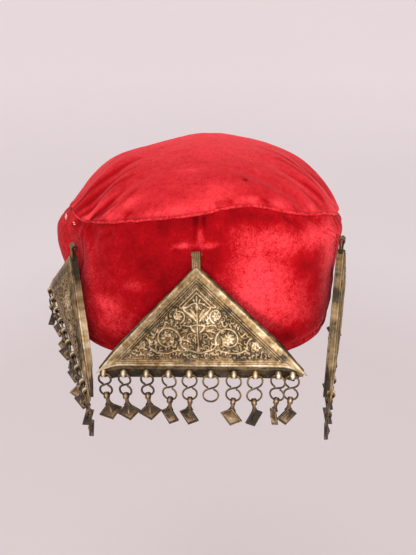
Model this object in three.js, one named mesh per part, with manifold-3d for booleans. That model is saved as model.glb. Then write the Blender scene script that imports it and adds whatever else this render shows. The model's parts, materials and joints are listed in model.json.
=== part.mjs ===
// Kasaba cap: a soft velvet cap that carries three hollow silver triangles with hanging drops.
// Millimetres, +Z up. The wearer faces -Y. The origin is the middle of the head opening, on the rim.
import * as THREE from 'three';
import { mergeVertices } from 'three/addons/utils/BufferGeometryUtils.js';
import Module from 'manifold-3d';

const wasm = await Module();
wasm.setup();

// ---------------------------------------------------------------- driving dimensions
const GAP = 0.3; // air left between neighbouring pieces
const WALL = 2; // velvet with its backing cloth
const CROWN_TOP = 111.5; // height of the crown's middle over the rim
const LEFT_CORNER = -49; // turns at which the front band meets the back band, degrees
const RIGHT_CORNER = 61;

// Half sizes of the plan at each level of the bands: 0 is the rim, 1 the seam under the crown.
// The plan is a superellipse, and `square` is its power: 2 is round, and more has fuller corners.
const BAND = [
  { level: 0, left: 91, right: 91, front: 99, back: 90, square: 2.9 },
  { level: 0.15, left: 93, right: 93.5, front: 100, back: 93, square: 2.75 },
  { level: 0.45, left: 97, right: 96.5, front: 98.5, back: 97, square: 2.35 },
  { level: 0.75, left: 101, right: 99.5, front: 93, back: 97, square: 2.2 },
  { level: 0.9, left: 99, right: 100, front: 89.5, back: 95, square: 2.15 },
  { level: 1, left: 92, right: 95, front: 87.5, back: 92, square: 2.15 },
];

// Height of the crown seam round the cap. Turn 0 is the front and 90 the side at +X.
const SEAM = [
  { turn: -180, height: 62 },
  { turn: -120, height: 63 },
  { turn: -80, height: 67 },
  { turn: -63, height: 74.5 },
  { turn: -53, height: 73 },
  { turn: -44, height: 75.5 },
  { turn: -33, height: 79.5 },
  { turn: -20, height: 84 },
  { turn: 0, height: 89 },
  { turn: 18, height: 93 },
  { turn: 31, height: 87.5 },
  { turn: 40, height: 83 },
  { turn: 50, height: 79 },
  { turn: 59, height: 75 },
  { turn: 68, height: 69 },
  { turn: 90, height: 62 },
  { turn: 120, height: 61 },
  { turn: 180, height: 62 },
];

// Section of the crown from its middle to its seam: share of the seam's radius, share of the rise.
const DOME = [
  { reach: 0, rise: 1 },
  { reach: 0.27, rise: 0.95 },
  { reach: 0.45, rise: 0.865 },
  { reach: 0.6, rise: 0.77 },
  { reach: 0.75, rise: 0.625 },
  { reach: 0.87, rise: 0.45 },
  { reach: 0.95, rise: 0.27 },
  { reach: 1.005, rise: 0.085 },
  { reach: 1, rise: 0 },
];

// Creases of the crown, each along a line in plan, where the pile sinks.
const CROWN_FOLDS = [
  { x: -76, y: -64, toX: -52, toY: -38, width: 7, depth: 7 },
  { x: -70, y: -74, toX: -30, toY: -52, width: 6, depth: 3 },
  { x: -84, y: -44, toX: -58, toY: 6, width: 8, depth: 3 },
  { x: -82, y: -20, toX: -62, toY: 50, width: 22, depth: 8 },
  { x: -50, y: 30, toX: -20, toY: 60, width: 26, depth: 4 },
  { x: 84, y: -10, toX: 66, toY: 50, width: 22, depth: 1.5 },
  { x: 80, y: -66, toX: 44, toY: -36, width: 7, depth: 4 },
  { x: 70, y: -72, toX: 24, toY: -60, width: 6, depth: 3 },
  { x: 86, y: -40, toX: 62, toY: 10, width: 8, depth: 4 },
];

// Creases of the bands, each along a line from one turn and level to another.
const BAND_FOLDS = [
  { turn: 46, level: 0.96, toTurn: 33, toLevel: 0.74, width: 5, depth: 2.5 },
  { turn: 38, level: 0.97, toTurn: 27, toLevel: 0.8, width: 5, depth: 2 },
  { turn: -6, level: 0.86, toTurn: 7, toLevel: 0.83, width: 5, depth: 1.5 },
  { turn: -42, level: 0.9, toTurn: -34, toLevel: 0.5, width: 7, depth: 2 },
  { turn: -55, level: 0.7, toTurn: -60, toLevel: 0.45, width: 20, depth: 8.5 },
  { turn: 100, level: 0.95, toTurn: 92, toLevel: 0.4, width: 8, depth: 3 },
  { turn: -105, level: 0.95, toTurn: -96, toLevel: 0.45, width: 8, depth: 3 },
  { turn: 160, level: 0.9, toTurn: 172, toLevel: 0.3, width: 9, depth: 3 },
  { turn: -158, level: 0.9, toTurn: -150, toLevel: 0.35, width: 9, depth: 3 },
];

// The three silver triangles. x, y, z is the middle of the bail's hole, on the thread.
const AMULETS = [
  { name: 'front', x: -0.7, y: -97.2, z: 69.2, yaw: -5.6, lean: 16, roll: 3.1 },
  { name: 'left', x: -74.7, y: -69.6, z: 61.6, yaw: -63.6, lean: 7.5, roll: -7.2 },
  { name: 'right', x: 83.6, y: -76.2, z: 68.9, yaw: 75, lean: 1.9, roll: 3.1 },
];
const HALF_BASE = 57.5; // of the front face, which is half as tall as its base is long
const CASE_HEIGHT = 57.5;
const CASE_DEPTH = 4.8;
const CASE_SHEET = 0.7;
const APEX_DROP = 6; // from the bail's hole down to the apex
const BOTTOM_FLARE = 8.6; // the bottom wall slopes down to the back plate by this much
const TIP_CUT = 4.6; // the back plate's two tips are cut off this far in from the face's
const TIP_SHARE = 0.8; // and on the slopes at this share of the way down
const FACE_RISE = 1.8; // the field stands out by this much over the face's edge
const TIP_BLUNT = 1.2;
const BORDER = 7; // flat frame round the chased field
const FIELD_SINK = 0.6; // the field lies this much under the frame
const VENT = 1.4; // half size of the vent in the back plate

const BAIL_WIDTH = 5.6;
const BAIL_HOLE = 1.2;
const BAIL_STRIP = 0.8;
const THREAD = 0.55;

// Loops under each triangle, as shares of its base from its left corner.
const LOOP_PLACES = [0.018, 0.12, 0.235, 0.347, 0.45, 0.556, 0.67, 0.775, 0.886, 0.954];
const LOOP_BACK = 0.4; // behind the face
const LOOP_DROP = 4.7; // under the face's lower edge
const LOOP = { hole: 1.75, edge: 2.2, outer: 2.55, halfWidth: 1.7, segments: 6 };

const SLACK = 0.3; // a hook hangs this much under its loop's middle, and a drop under its hook's foot
const WIRE = 0.55;
const EYE_WIDE = 3.8; // half sizes of a hook's two oval eyes, to the wire's middle
const EYE_TALL = 4.35;
const EYE_START = -62; // the free end of the upper eye, degrees up from level
const EYE_END = 250; // and its end on the bridge

const SQUARE = { reach: 6.9, border: 1.1, peak: 2, sheet: 0.8 };
const DROP_BAIL = { hole: 1.5, edge: 1.85, outer: 2.3, halfWidth: 1.7, segments: 6 };
const SIDE_STRIP = { topRadius: 1.9, footRadius: 0.9, over: 1.6, under: 5.8 }; // about its bail's middle
const DROP_NECK = 5.2; // from the bail's middle down to the square

// How each drop hangs, from the left corner to the right one: size of its hook, turn of the hook
// about the plumb line, turn of the square against its hook, and swing in the hook's plane, degrees.
const FRONT_DROPS = [
  { size: 0.95, hookTurn: 4, turn: 24, swing: -6 },
  { size: 0.96, hookTurn: -6, turn: 18, swing: -4 },
  { size: 0.94, hookTurn: 3, turn: 8, swing: -3 },
  { size: 1.12, hookTurn: -10, turn: -22, swing: 2 },
  { size: 1.12, hookTurn: 8, turn: -36, swing: 3 },
  { size: 1.19, hookTurn: 4, turn: null, swing: 0 },
  { size: 1.14, hookTurn: -5, turn: -16, swing: 4 },
  { size: 1.15, hookTurn: 9, turn: -144, swing: -3 },
  { size: 1.08, hookTurn: -16, turn: -58, swing: 3 },
  { size: 1.05, hookTurn: -4, turn: 35, swing: 5 },
];
const LEFT_DROPS = [
  { size: 0.98, hookTurn: 10, turn: -50, swing: 12 },
  { size: 0.94, hookTurn: -8, turn: 30, swing: 4 },
  { size: 1.05, hookTurn: 10, turn: 20, swing: -5 },
  { size: 0.98, hookTurn: -6, turn: 46, swing: 3 },
  { size: 1.02, hookTurn: 6, turn: -20, swing: -3 },
  { size: 0.94, hookTurn: -10, turn: 38, swing: 2 },
  { size: 1, hookTurn: 4, turn: 60, swing: -3 },
  { size: 0.94, hookTurn: 9, turn: 26, swing: 3 },
  { size: 0.96, hookTurn: -10, turn: -34, swing: 1 },
  { size: 0.95, hookTurn: -4, turn: -20, swing: -2 },
];
const RIGHT_DROPS = [
  { size: 0.86, hookTurn: -2, turn: 10, swing: 2 },
  { size: 0.94, hookTurn: -6, turn: 30, swing: -2 },
  { size: 0.94, hookTurn: 10, turn: 12, swing: 2 },
  { size: 1, hookTurn: -8, turn: 46, swing: 3 },
  { size: 0.96, hookTurn: 6, turn: 20, swing: -2 },
  { size: 0.94, hookTurn: -10, turn: 38, swing: 2 },
  { size: 0.98, hookTurn: 4, turn: 14, swing: -2 },
  { size: 0.95, hookTurn: 9, turn: 26, swing: 3 },
  { size: 0.98, hookTurn: -9, turn: 64, swing: 0 },
  { size: 0.92, hookTurn: -4, turn: 16, swing: -6 },
];

// Raised forms of the chased field: x across, z over the base line, six-sided bosses.
const BOSSES = [
  { x: -17, z: 17, radius: 8, height: 0.5 },
  { x: 17, z: 17, radius: 8, height: 0.5 },
  { x: -33, z: 13.5, radius: 4.6, height: 0.7 },
  { x: 33, z: 13.5, radius: 4.6, height: 0.7 },
  { x: -9, z: 31, radius: 4, height: 0.7 },
  { x: 9, z: 31, radius: 4, height: 0.7 },
];
const STEM = { foot: 9, top: 33, width: 1.4, height: 0.7 };

// ---------------------------------------------------------------- finishes
const VELVET = new THREE.MeshStandardMaterial({ color: 0xc80f19, roughness: 0.75, metalness: 0 });
const SILVER = new THREE.MeshStandardMaterial({ color: 0xa08c5f, roughness: 0.4, metalness: 0.9 });
const BRONZE = new THREE.MeshStandardMaterial({ color: 0x6a624c, roughness: 0.5, metalness: 0.8 });
const COTTON = new THREE.MeshStandardMaterial({ color: 0xb01020, roughness: 0.9, metalness: 0 });

// ---------------------------------------------------------------- helpers
const radians = THREE.MathUtils.degToRad;

// A smooth function through one column of a table, over the table's key column.
function through(table, key, column) {
  const at = table.map((row) => row[key]);
  const values = table.map((row) => row[column]);
  const curve = new THREE.CubicInterpolant(at, values, 1);
  return (x) => curve.evaluate(THREE.MathUtils.clamp(x, at[0], at[at.length - 1]))[0];
}

function geometryOf(points, triangles) {
  const geometry = new THREE.BufferGeometry();
  geometry.setAttribute('position', new THREE.Float32BufferAttribute(points.flat(), 3));
  geometry.setIndex(triangles.flat());
  return geometry;
}

function solidOf(geometry) {
  const bare = geometry.clone();
  bare.deleteAttribute('normal');
  bare.deleteAttribute('uv');
  const merged = mergeVertices(bare, 1e-4);
  const vertProperties = new Float32Array(merged.attributes.position.array);
  const triVerts = new Uint32Array(merged.index.array);
  return new wasm.Manifold(new wasm.Mesh({ numProp: 3, vertProperties, triVerts }));
}

function meshOf(solid) {
  const { vertProperties, triVerts } = solid.getMesh();
  const geometry = new THREE.BufferGeometry();
  geometry.setAttribute('position', new THREE.BufferAttribute(vertProperties, 3));
  geometry.setIndex(new THREE.BufferAttribute(triVerts, 1));
  return geometry;
}

function fused(geometries) {
  const [first, ...rest] = geometries.map(solidOf);
  return rest.reduce((whole, next) => whole.add(next), first);
}

function named(name, geometry, material) {
  const mesh = new THREE.Mesh(geometry, material);
  mesh.name = name;
  return mesh;
}

// A closed wall between two grids of points: outer[i][j] and inner[i][j], i round, j up.
function wallBetween(outer, inner) {
  const rows = outer.length;
  const columns = outer[0].length;
  const points = [...outer.flat(), ...inner.flat()];
  const out = (i, j) => i * columns + j;
  const into = (i, j) => rows * columns + i * columns + j;
  const triangles = [];
  const quad = (a, b, c, d) => triangles.push([a, b, c], [a, c, d]);
  for (let i = 0; i + 1 < rows; i += 1) {
    for (let j = 0; j + 1 < columns; j += 1) {
      quad(out(i, j), out(i + 1, j), out(i + 1, j + 1), out(i, j + 1));
      quad(into(i, j), into(i, j + 1), into(i + 1, j + 1), into(i + 1, j));
    }
    quad(into(i, 0), into(i + 1, 0), out(i + 1, 0), out(i, 0));
    const top = columns - 1;
    quad(out(i, top), out(i + 1, top), into(i + 1, top), into(i, top));
  }
  for (let j = 0; j + 1 < columns; j += 1) {
    const last = rows - 1;
    quad(into(0, j), out(0, j), out(0, j + 1), into(0, j + 1));
    quad(out(last, j), into(last, j), into(last, j + 1), out(last, j + 1));
  }
  return geometryOf(points, triangles);
}

// Depth at a point of creases that each run along a line between two places.
function creaseDepth(folds, x, y) {
  let depth = 0;
  for (const fold of folds) {
    const alongX = fold.toX - fold.x;
    const alongY = fold.toY - fold.y;
    const length = Math.hypot(alongX, alongY);
    const share = ((x - fold.x) * alongX + (y - fold.y) * alongY) / length ** 2;
    const near = THREE.MathUtils.clamp(share, 0, 1);
    const away = Math.hypot(x - fold.x - near * alongX, y - fold.y - near * alongY);
    depth += fold.depth * (1 - 0.7 * near) * Math.exp(-((away / fold.width) ** 2));
  }
  return depth;
}

// A regular polygon that a wire or a thread has for its section.
function polygon(radius, sides) {
  const corners = Array.from({ length: sides }, (_, i) => {
    const angle = (2 * Math.PI * (i + 0.5)) / sides;
    return new THREE.Vector2(radius * Math.cos(angle), radius * Math.sin(angle));
  });
  return new THREE.Shape(corners);
}

// ---------------------------------------------------------------- velvet
const seamHeight = through(SEAM, 'turn', 'height');
const bandLeft = through(BAND, 'level', 'left');
const bandRight = through(BAND, 'level', 'right');
const bandFront = through(BAND, 'level', 'front');
const bandBack = through(BAND, 'level', 'back');
const bandSquare = through(BAND, 'level', 'square');

// Radius of the superellipse at a turn, from its half width and its half depth on that side.
function planRadius(turn, level) {
  const across = Math.abs(Math.sin(radians(turn)));
  const along = Math.cos(radians(turn));
  const side = turn < 0 ? bandLeft(level) : bandRight(level);
  const depth = along > 0 ? bandFront(level) : bandBack(level);
  const power = bandSquare(level);
  const sum = (across / side) ** power + (Math.abs(along) / depth) ** power;
  return sum ** (-1 / power);
}

const SEAM_TRIM = 0.1; // degrees that a band's end stays off its corner seam
const MM_PER_DEGREE = 1.65;
const BAND_HEIGHT = 86;
const bandLines = BAND_FOLDS.map((fold) => ({
  x: fold.turn * MM_PER_DEGREE,
  y: fold.level * BAND_HEIGHT,
  toX: fold.toTurn * MM_PER_DEGREE,
  toY: fold.toLevel * BAND_HEIGHT,
  width: fold.width,
  depth: fold.depth,
}));

function bandPoint(turn, level, inset) {
  const crease = creaseDepth(bandLines, turn * MM_PER_DEGREE, level * BAND_HEIGHT);
  const radius = planRadius(turn, level) - inset - crease;
  const height = seamHeight(turn) * level;
  return [radius * Math.sin(radians(turn)), -radius * Math.cos(radians(turn)), height];
}

// Turns of a piece's columns, from one corner seam to the other.
const turnsBetween = (from, to, count) =>
  Array.from({ length: count + 1 }, (_, i) => THREE.MathUtils.lerp(from, to, i / count));

const wrapped = (turn) => (turn > 180 ? turn - 360 : turn);

function velvetBand(name, turns, rows) {
  const last = turns.length - 1;
  const trimmed = turns.map((turn, i) => turn + (i === 0 ? SEAM_TRIM : 0) - (i === last ? SEAM_TRIM : 0));
  const grid = (inset) =>
    trimmed.map((turn) =>
      Array.from({ length: rows + 1 }, (_, j) => bandPoint(wrapped(turn), j / rows, inset)),
    );
  return named(name, wallBetween(grid(0), grid(WALL)), VELVET);
}

function velvetCrown(turns) {
  const columns = turns.length;
  const rings = DOME.slice(1);
  const points = [];
  const triangles = [];
  for (const inset of [0, WALL]) {
    const first = points.length;
    points.push([0, 0, CROWN_TOP - inset]);
    for (const ring of rings) {
      for (let i = 0; i < columns; i += 1) {
        const turn = wrapped(turns[i]);
        const seam = seamHeight(turn) + GAP;
        const radius = (planRadius(turn, 1) - inset) * ring.reach;
        const x = radius * Math.sin(radians(turn));
        const y = -radius * Math.cos(radians(turn));
        const rise = (CROWN_TOP - inset - seam) * ring.rise;
        const crease = creaseDepth(CROWN_FOLDS, x, y) * Math.min(1, 3 * ring.rise);
        points.push([x, y, seam + rise - crease]);
      }
    }
    const at = (ring, i) => first + 1 + ring * columns + (i % columns);
    const push = (a, b, c) => triangles.push(inset === 0 ? [a, b, c] : [a, c, b]);
    for (let i = 0; i < columns; i += 1) {
      push(first, at(0, i), at(0, i + 1));
      for (let ring = 0; ring + 1 < rings.length; ring += 1) {
        push(at(ring, i), at(ring + 1, i), at(ring + 1, i + 1));
        push(at(ring, i), at(ring + 1, i + 1), at(ring, i + 1));
      }
    }
  }
  const outerEdge = (rings.length - 1) * columns + 1;
  const innerEdge = outerEdge + rings.length * columns + 1;
  for (let i = 0; i < columns; i += 1) {
    const next = (i + 1) % columns;
    triangles.push([outerEdge + i, innerEdge + i, innerEdge + next]);
    triangles.push([outerEdge + i, innerEdge + next, outerEdge + next]);
  }
  return named('crown', geometryOf(points, triangles), VELVET);
}

// ---------------------------------------------------------------- silver
// A closed ring about X whose section is a diamond, as a strip bent into a loop.
function stripRing({ hole, edge, outer, halfWidth, segments }) {
  const section = [
    new THREE.Vector2(hole, 0),
    new THREE.Vector2(edge, -halfWidth),
    new THREE.Vector2(outer, 0),
    new THREE.Vector2(edge, halfWidth),
    new THREE.Vector2(hole, 0),
  ];
  return new THREE.LatheGeometry(section, segments).rotateZ(Math.PI / 2);
}

// A convex block between a front and a back outline of [x, z] points, both anticlockwise from the front.
function blockBetween(front, back, frontY, backY) {
  const count = front.length;
  const points = [...front.map(([x, z]) => [x, frontY, z]), ...back.map(([x, z]) => [x, backY, z])];
  const triangles = [];
  for (let i = 1; i + 1 < count; i += 1) {
    triangles.push([0, i, i + 1], [count, count + i + 1, count + i]);
  }
  for (let i = 0; i < count; i += 1) {
    const next = (i + 1) % count;
    triangles.push([i, count + i, count + next], [i, count + next, next]);
  }
  return geometryOf(points, triangles);
}

// Outline of the triangle, drawn in by `inset` on every side, at a share of the way from the face to
// the back plate. The back plate's bottom is lower, and its tips are cut off, so that the case is
// thin at its tips.
function caseOutline(inset, share = 0) {
  const top = -APEX_DROP - inset * Math.SQRT2;
  const bottom = -APEX_DROP - CASE_HEIGHT + inset;
  const tip = HALF_BASE - inset * (1 + Math.SQRT2);
  const slopeCut = share * (1 - TIP_SHARE) * tip;
  const foot = tip - TIP_BLUNT - share * TIP_CUT;
  return [
    [-TIP_BLUNT, top - TIP_BLUNT],
    [slopeCut - tip, bottom + TIP_BLUNT + slopeCut],
    [-foot, bottom - BOTTOM_FLARE * share],
    [foot, bottom - BOTTOM_FLARE * share],
    [tip - slopeCut, bottom + TIP_BLUNT + slopeCut],
    [TIP_BLUNT, top - TIP_BLUNT],
  ];
}

// The chased field: the block that sinks it, and the forms that stand up in it.
function fieldSink() {
  const face = -CASE_DEPTH / 2 - FACE_RISE;
  const floor = caseOutline(BORDER + FIELD_SINK);
  const mouth = caseOutline(BORDER - FIELD_SINK);
  return blockBetween(mouth, floor, face - FIELD_SINK, face + FIELD_SINK);
}

function fieldForms() {
  const floor = FIELD_SINK - CASE_DEPTH / 2 - FACE_RISE;
  const base = -APEX_DROP - CASE_HEIGHT;
  const root = 0.2; // how deep a form reaches into the sheet
  const forms = BOSSES.map(({ x, z, radius, height }) => {
    const boss = new THREE.CylinderGeometry(radius, radius - height, height + root, 6);
    return boss.translate(x, floor + root - (height + root) / 2, base + z);
  });
  const stem = new THREE.BoxGeometry(STEM.width, STEM.height + root, STEM.top - STEM.foot);
  stem.translate(0, floor + root - (STEM.height + root) / 2, base + (STEM.foot + STEM.top) / 2);
  return [...forms, stem];
}

function amuletCase(name) {
  const half = CASE_DEPTH / 2;
  const body = blockBetween(caseOutline(0), caseOutline(0, 1), -half, half);
  // The frame slopes up to the field, and the hollow behind it follows.
  const frame = blockBetween(caseOutline(BORDER), caseOutline(0), -half - FACE_RISE, -half);
  const sheet = FIELD_SINK + CASE_SHEET;
  const share = sheet / CASE_DEPTH;
  const cavity = blockBetween(
    caseOutline(2 * CASE_SHEET, share),
    caseOutline(2 * CASE_SHEET, 1),
    sheet - half,
    half - CASE_SHEET,
  );
  const upper = blockBetween(
    caseOutline(BORDER + sheet),
    caseOutline(3 * CASE_SHEET),
    sheet - half - FACE_RISE,
    sheet - half,
  );
  const vent = new THREE.BoxGeometry(2 * VENT, CASE_DEPTH, 2 * VENT);
  vent.translate(0, half, -APEX_DROP - CASE_HEIGHT * 0.55);
  let whole = solidOf(body).add(solidOf(frame));
  for (const hollow of [cavity, upper, vent, fieldSink()]) whole = whole.subtract(solidOf(hollow));
  const soldered = [bail(), ...LOOP_PLACES.map(loopAt), ...fieldForms()];
  for (const piece of soldered) whole = whole.add(solidOf(piece));
  return named(`${name}_case`, meshOf(whole), SILVER);
}

// Middle of the hole of the loop at a share of the base, in the case's own axes. The loops are
// soldered on the sloping bottom wall.
function loopMiddle(share) {
  const x = (2 * share - 1) * HALF_BASE;
  return new THREE.Vector3(x, LOOP_BACK - CASE_DEPTH / 2, -APEX_DROP - CASE_HEIGHT - LOOP_DROP);
}

function loopAt(share) {
  return stripRing(LOOP).translate(...loopMiddle(share).toArray());
}

// The bail is a strip bent over the thread, with its two ends soldered into the apex.
function bail() {
  const outer = BAIL_HOLE + BAIL_STRIP;
  const foot = -APEX_DROP - 2.4;
  const shape = new THREE.Shape();
  shape.moveTo(outer, foot);
  shape.absarc(0, 0, outer, 0, Math.PI, false);
  shape.lineTo(-outer, foot);
  const hole = new THREE.Path();
  hole.moveTo(BAIL_HOLE, -2.4);
  hole.absarc(0, 0, BAIL_HOLE, 0, Math.PI, false);
  hole.lineTo(-BAIL_HOLE, -2.4);
  shape.holes.push(hole);
  const strip = new THREE.ExtrudeGeometry(shape, {
    depth: BAIL_WIDTH,
    bevelEnabled: false,
    curveSegments: 6,
  });
  strip.translate(0, 0, -BAIL_WIDTH / 2).rotateX(Math.PI / 2).rotateZ(Math.PI / 2);
  return strip;
}

// The S of a hook, seen from behind: an upper eye, a short slanting bridge and a lower eye. The
// middle of its wire at the top is SLACK under the origin.
const EYE_RISE = -EYE_TALL / Math.sin(radians(EYE_END));
const HOOK_STEPS = 11; // an odd number, which lays one straight stretch over each eye
const WIRE_FLAT = WIRE * Math.SQRT1_2; // from the middle of a wire to its flats

function hookWire(size) {
  const points = [];
  const count = 15;
  for (let i = 0; i <= count; i += 1) {
    const angle = radians(THREE.MathUtils.lerp(EYE_START, EYE_END, i / count));
    const x = -EYE_WIDE * Math.cos(angle);
    const z = EYE_RISE + EYE_TALL * Math.sin(angle);
    points.push(new THREE.Vector3(x * size, 0, z * size));
  }
  const lower = points.map((p) => new THREE.Vector3(-p.x, 0, -p.z)).reverse();
  const path = new THREE.CatmullRomCurve3([...points, ...lower]);
  const section = polygon(WIRE, 4);
  const wire = new THREE.ExtrudeGeometry(section, {
    steps: HOOK_STEPS,
    extrudePath: path,
    bevelEnabled: false,
  });
  wire.computeBoundingBox();
  return wire.translate(0, 0, WIRE_FLAT - SLACK - wire.boundingBox.max.z);
}

// From the middle of a loop's hole down to the middle of the bail that hangs from its hook.
function hookReach(size) {
  const wire = hookWire(size);
  wire.computeBoundingBox();
  return SLACK - WIRE_FLAT - wire.boundingBox.min.z;
}

// A square of sheet hung by a corner and stamped into a low pyramid, its top corner at the origin.
// The front has a flat border round the pyramid, and the back is the hollow of the stamp.
function stampedSquare() {
  const { reach, border, peak, sheet } = SQUARE;
  const corners = [[0, 1], [1, 0], [0, -1], [-1, 0]];
  const ring = (size, y) => corners.map(([x, z]) => [x * size, y, z * size - reach]);
  const points = [
    ...ring(reach, -sheet / 2),
    ...ring(reach - border * Math.SQRT2, -sheet / 2),
    ...ring(reach, sheet / 2),
    [0, -peak - sheet / 2, -reach],
    [0, -peak + sheet / 2, -reach],
  ];
  const triangles = [];
  for (let i = 0; i < 4; i += 1) {
    const next = (i + 1) % 4;
    const edge = 4 + i;
    const back = 8 + i;
    triangles.push([i, edge, 4 + next], [i, 4 + next, next], [edge, 12, 4 + next]);
    triangles.push([back, 8 + next, 13], [i, next, 8 + next], [i, 8 + next, back]);
  }
  return geometryOf(points, triangles);
}

// The two ends of a drop's strip bail, closed on each other down to the square.
function dropNeck() {
  const top = DROP_BAIL.hole + 0.35;
  const tall = DROP_NECK + 1.2 - top;
  return new THREE.BoxGeometry(1.6, 1.2, tall).translate(0, 0, -top - tall / 2);
}

const numbered = (name, index) => `${name}_${String(index).padStart(2, '0')}`;

function frontHook(index, eye, row, yaw) {
  const hook = named(numbered('front_hook', index), hookWire(row.size), BRONZE);
  hook.position.copy(eye);
  hook.rotation.z = radians(yaw + row.hookTurn);
  return hook;
}

function frontDrop(index, eye, row, yaw) {
  const square = stampedSquare().translate(0, 0, -DROP_NECK);
  square.rotateZ(radians(row.turn));
  const whole = fused([stripRing(DROP_BAIL), dropNeck(), square]);
  const drop = named(numbered('front_drop', index), meshOf(whole), BRONZE);
  drop.position.set(eye.x, eye.y, eye.z - hookReach(row.size));
  drop.rotation.order = 'ZYX';
  drop.rotation.set(0, radians(row.swing), radians(yaw + row.hookTurn));
  return drop;
}

// A side drop is a hook closed on its square, as one solid.
function sideDrop(name, index, eye, row, yaw) {
  const reach = hookReach(row.size);
  const hook = hookWire(row.size);
  const square = stampedSquare().translate(0, 0, -DROP_NECK);
  square.rotateZ(radians(row.turn));
  const { topRadius, footRadius, over, under } = SIDE_STRIP;
  const strip = new THREE.CylinderGeometry(topRadius, footRadius, over + under, 4, 1, false, Math.PI / 4);
  strip.rotateX(Math.PI / 2).translate(0, 0, (over - under) / 2);
  const hung = [strip, square].map((piece) => piece.translate(0, 0, -reach));
  const whole = fused([hook, ...hung]);
  const drop = named(numbered(`${name}_drop`, index), meshOf(whole), BRONZE);
  drop.position.copy(eye);
  drop.rotation.order = 'ZYX';
  drop.rotation.set(0, radians(row.swing), radians(yaw + row.hookTurn));
  return drop;
}

// How far the cloth is behind a point, going along a level direction.
function clothBehind(point, direction) {
  const inside = (distance) => {
    const { x, y, z } = direction.clone().multiplyScalar(distance).add(point);
    const turn = THREE.MathUtils.radToDeg(Math.atan2(x, -y));
    const [skinX, skinY] = bandPoint(turn, z / seamHeight(turn), 0);
    return Math.hypot(x, y) < Math.hypot(skinX, skinY);
  };
  let distance = 0;
  while (!inside(distance)) distance += 0.05;
  return distance;
}

// Sewing thread that runs through the bail and back to the cloth on both sides.
function threadLoop(name, place) {
  const half = BAIL_WIDTH / 2;
  const back = new THREE.Vector3(0, 1, 0).transformDirection(place);
  const side = (sign) => {
    const foot = new THREE.Vector3(sign * (half + 1.7), 0, 0);
    const end = clothBehind(foot.clone().applyMatrix4(place), back) - GAP - 2 * THREAD;
    return [
      new THREE.Vector3(sign * (half - 0.3), 0, 0),
      new THREE.Vector3(sign * (half + 0.8), 0.3, 0),
      new THREE.Vector3(sign * (half + 1.5), 1.2, 0),
      new THREE.Vector3(sign * (half + 1.7), (1.2 + end) / 2, 0),
      foot.setY(end),
    ];
  };
  const geometry = new THREE.ExtrudeGeometry(polygon(THREAD, 4), {
    steps: 18,
    extrudePath: new THREE.CatmullRomCurve3([...side(-1).reverse(), ...side(1)]),
    bevelEnabled: false,
  });
  return named(`${name}_thread`, geometry, COTTON);
}

// ---------------------------------------------------------------- the cap
const cap = new THREE.Group();
const frontTurns = turnsBetween(LEFT_CORNER, RIGHT_CORNER, 17);
const backTurns = turnsBetween(RIGHT_CORNER, LEFT_CORNER + 360, 24);
cap.add(velvetCrown([...frontTurns.slice(0, -1), ...backTurns.slice(0, -1)]));
cap.add(velvetBand('front_band', frontTurns, 7));
cap.add(velvetBand('back_band', backTurns, 6));

const DROPS = { front: FRONT_DROPS, left: LEFT_DROPS, right: RIGHT_DROPS };
for (const amulet of AMULETS) {
  const hung = new THREE.Group();
  hung.position.set(amulet.x, amulet.y, amulet.z);
  hung.rotation.order = 'ZXY';
  hung.rotation.set(radians(-amulet.lean), radians(-amulet.roll), radians(amulet.yaw));
  hung.updateMatrixWorld(true);
  hung.add(amuletCase(amulet.name), threadLoop(amulet.name, hung.matrixWorld));
  cap.add(hung);
  LOOP_PLACES.forEach((share, i) => {
    const eye = loopMiddle(share).applyMatrix4(hung.matrixWorld);
    const row = DROPS[amulet.name][i];
    if (amulet.name !== 'front') {
      cap.add(sideDrop(amulet.name, i + 1, eye, row, amulet.yaw));
      return;
    }
    cap.add(frontHook(i + 1, eye, row, amulet.yaw));
    if (row.turn !== null) cap.add(frontDrop(i + 1, eye, row, amulet.yaw));
  });
}

export default cap;
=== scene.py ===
"""Kasaba cap: a soft velvet cap with three chased silver triangles and their hanging drops.

Shapes are worked out in millimetres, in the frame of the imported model, and go into their
meshes in metres. +Z is up, the wearer faces -Y, and the origin is the middle of the head
opening on the plane of the rim. A turn is measured round the cap from the front, in degrees,
and is positive towards +X.
"""
import json

import bpy
import numpy as np
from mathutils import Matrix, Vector


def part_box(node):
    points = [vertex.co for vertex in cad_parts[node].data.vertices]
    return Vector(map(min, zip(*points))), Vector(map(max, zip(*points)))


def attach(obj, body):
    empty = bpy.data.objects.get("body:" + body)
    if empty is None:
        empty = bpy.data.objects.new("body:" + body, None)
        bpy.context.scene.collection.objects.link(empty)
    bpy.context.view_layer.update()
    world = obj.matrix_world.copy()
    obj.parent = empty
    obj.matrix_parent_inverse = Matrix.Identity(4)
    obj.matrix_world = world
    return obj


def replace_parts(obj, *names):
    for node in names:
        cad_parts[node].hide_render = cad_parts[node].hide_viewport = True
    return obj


bl_info = {
    "name": "Kasaba cap",
    "version": (1, 0, 0),
    "blender": (4, 5, 0),
    "location": "View3D > Sidebar > Kasaba cap",
    "description": "A velvet cap with three chased silver triangles",
    "category": "Object",
}

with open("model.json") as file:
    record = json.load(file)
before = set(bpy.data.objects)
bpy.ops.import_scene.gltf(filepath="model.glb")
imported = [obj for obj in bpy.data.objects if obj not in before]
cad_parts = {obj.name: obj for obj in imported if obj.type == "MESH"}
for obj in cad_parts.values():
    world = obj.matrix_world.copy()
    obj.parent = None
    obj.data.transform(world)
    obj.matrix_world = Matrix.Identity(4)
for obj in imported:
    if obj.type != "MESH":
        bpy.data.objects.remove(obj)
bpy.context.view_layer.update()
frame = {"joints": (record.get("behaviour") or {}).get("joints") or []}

MM = 0.001

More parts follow.
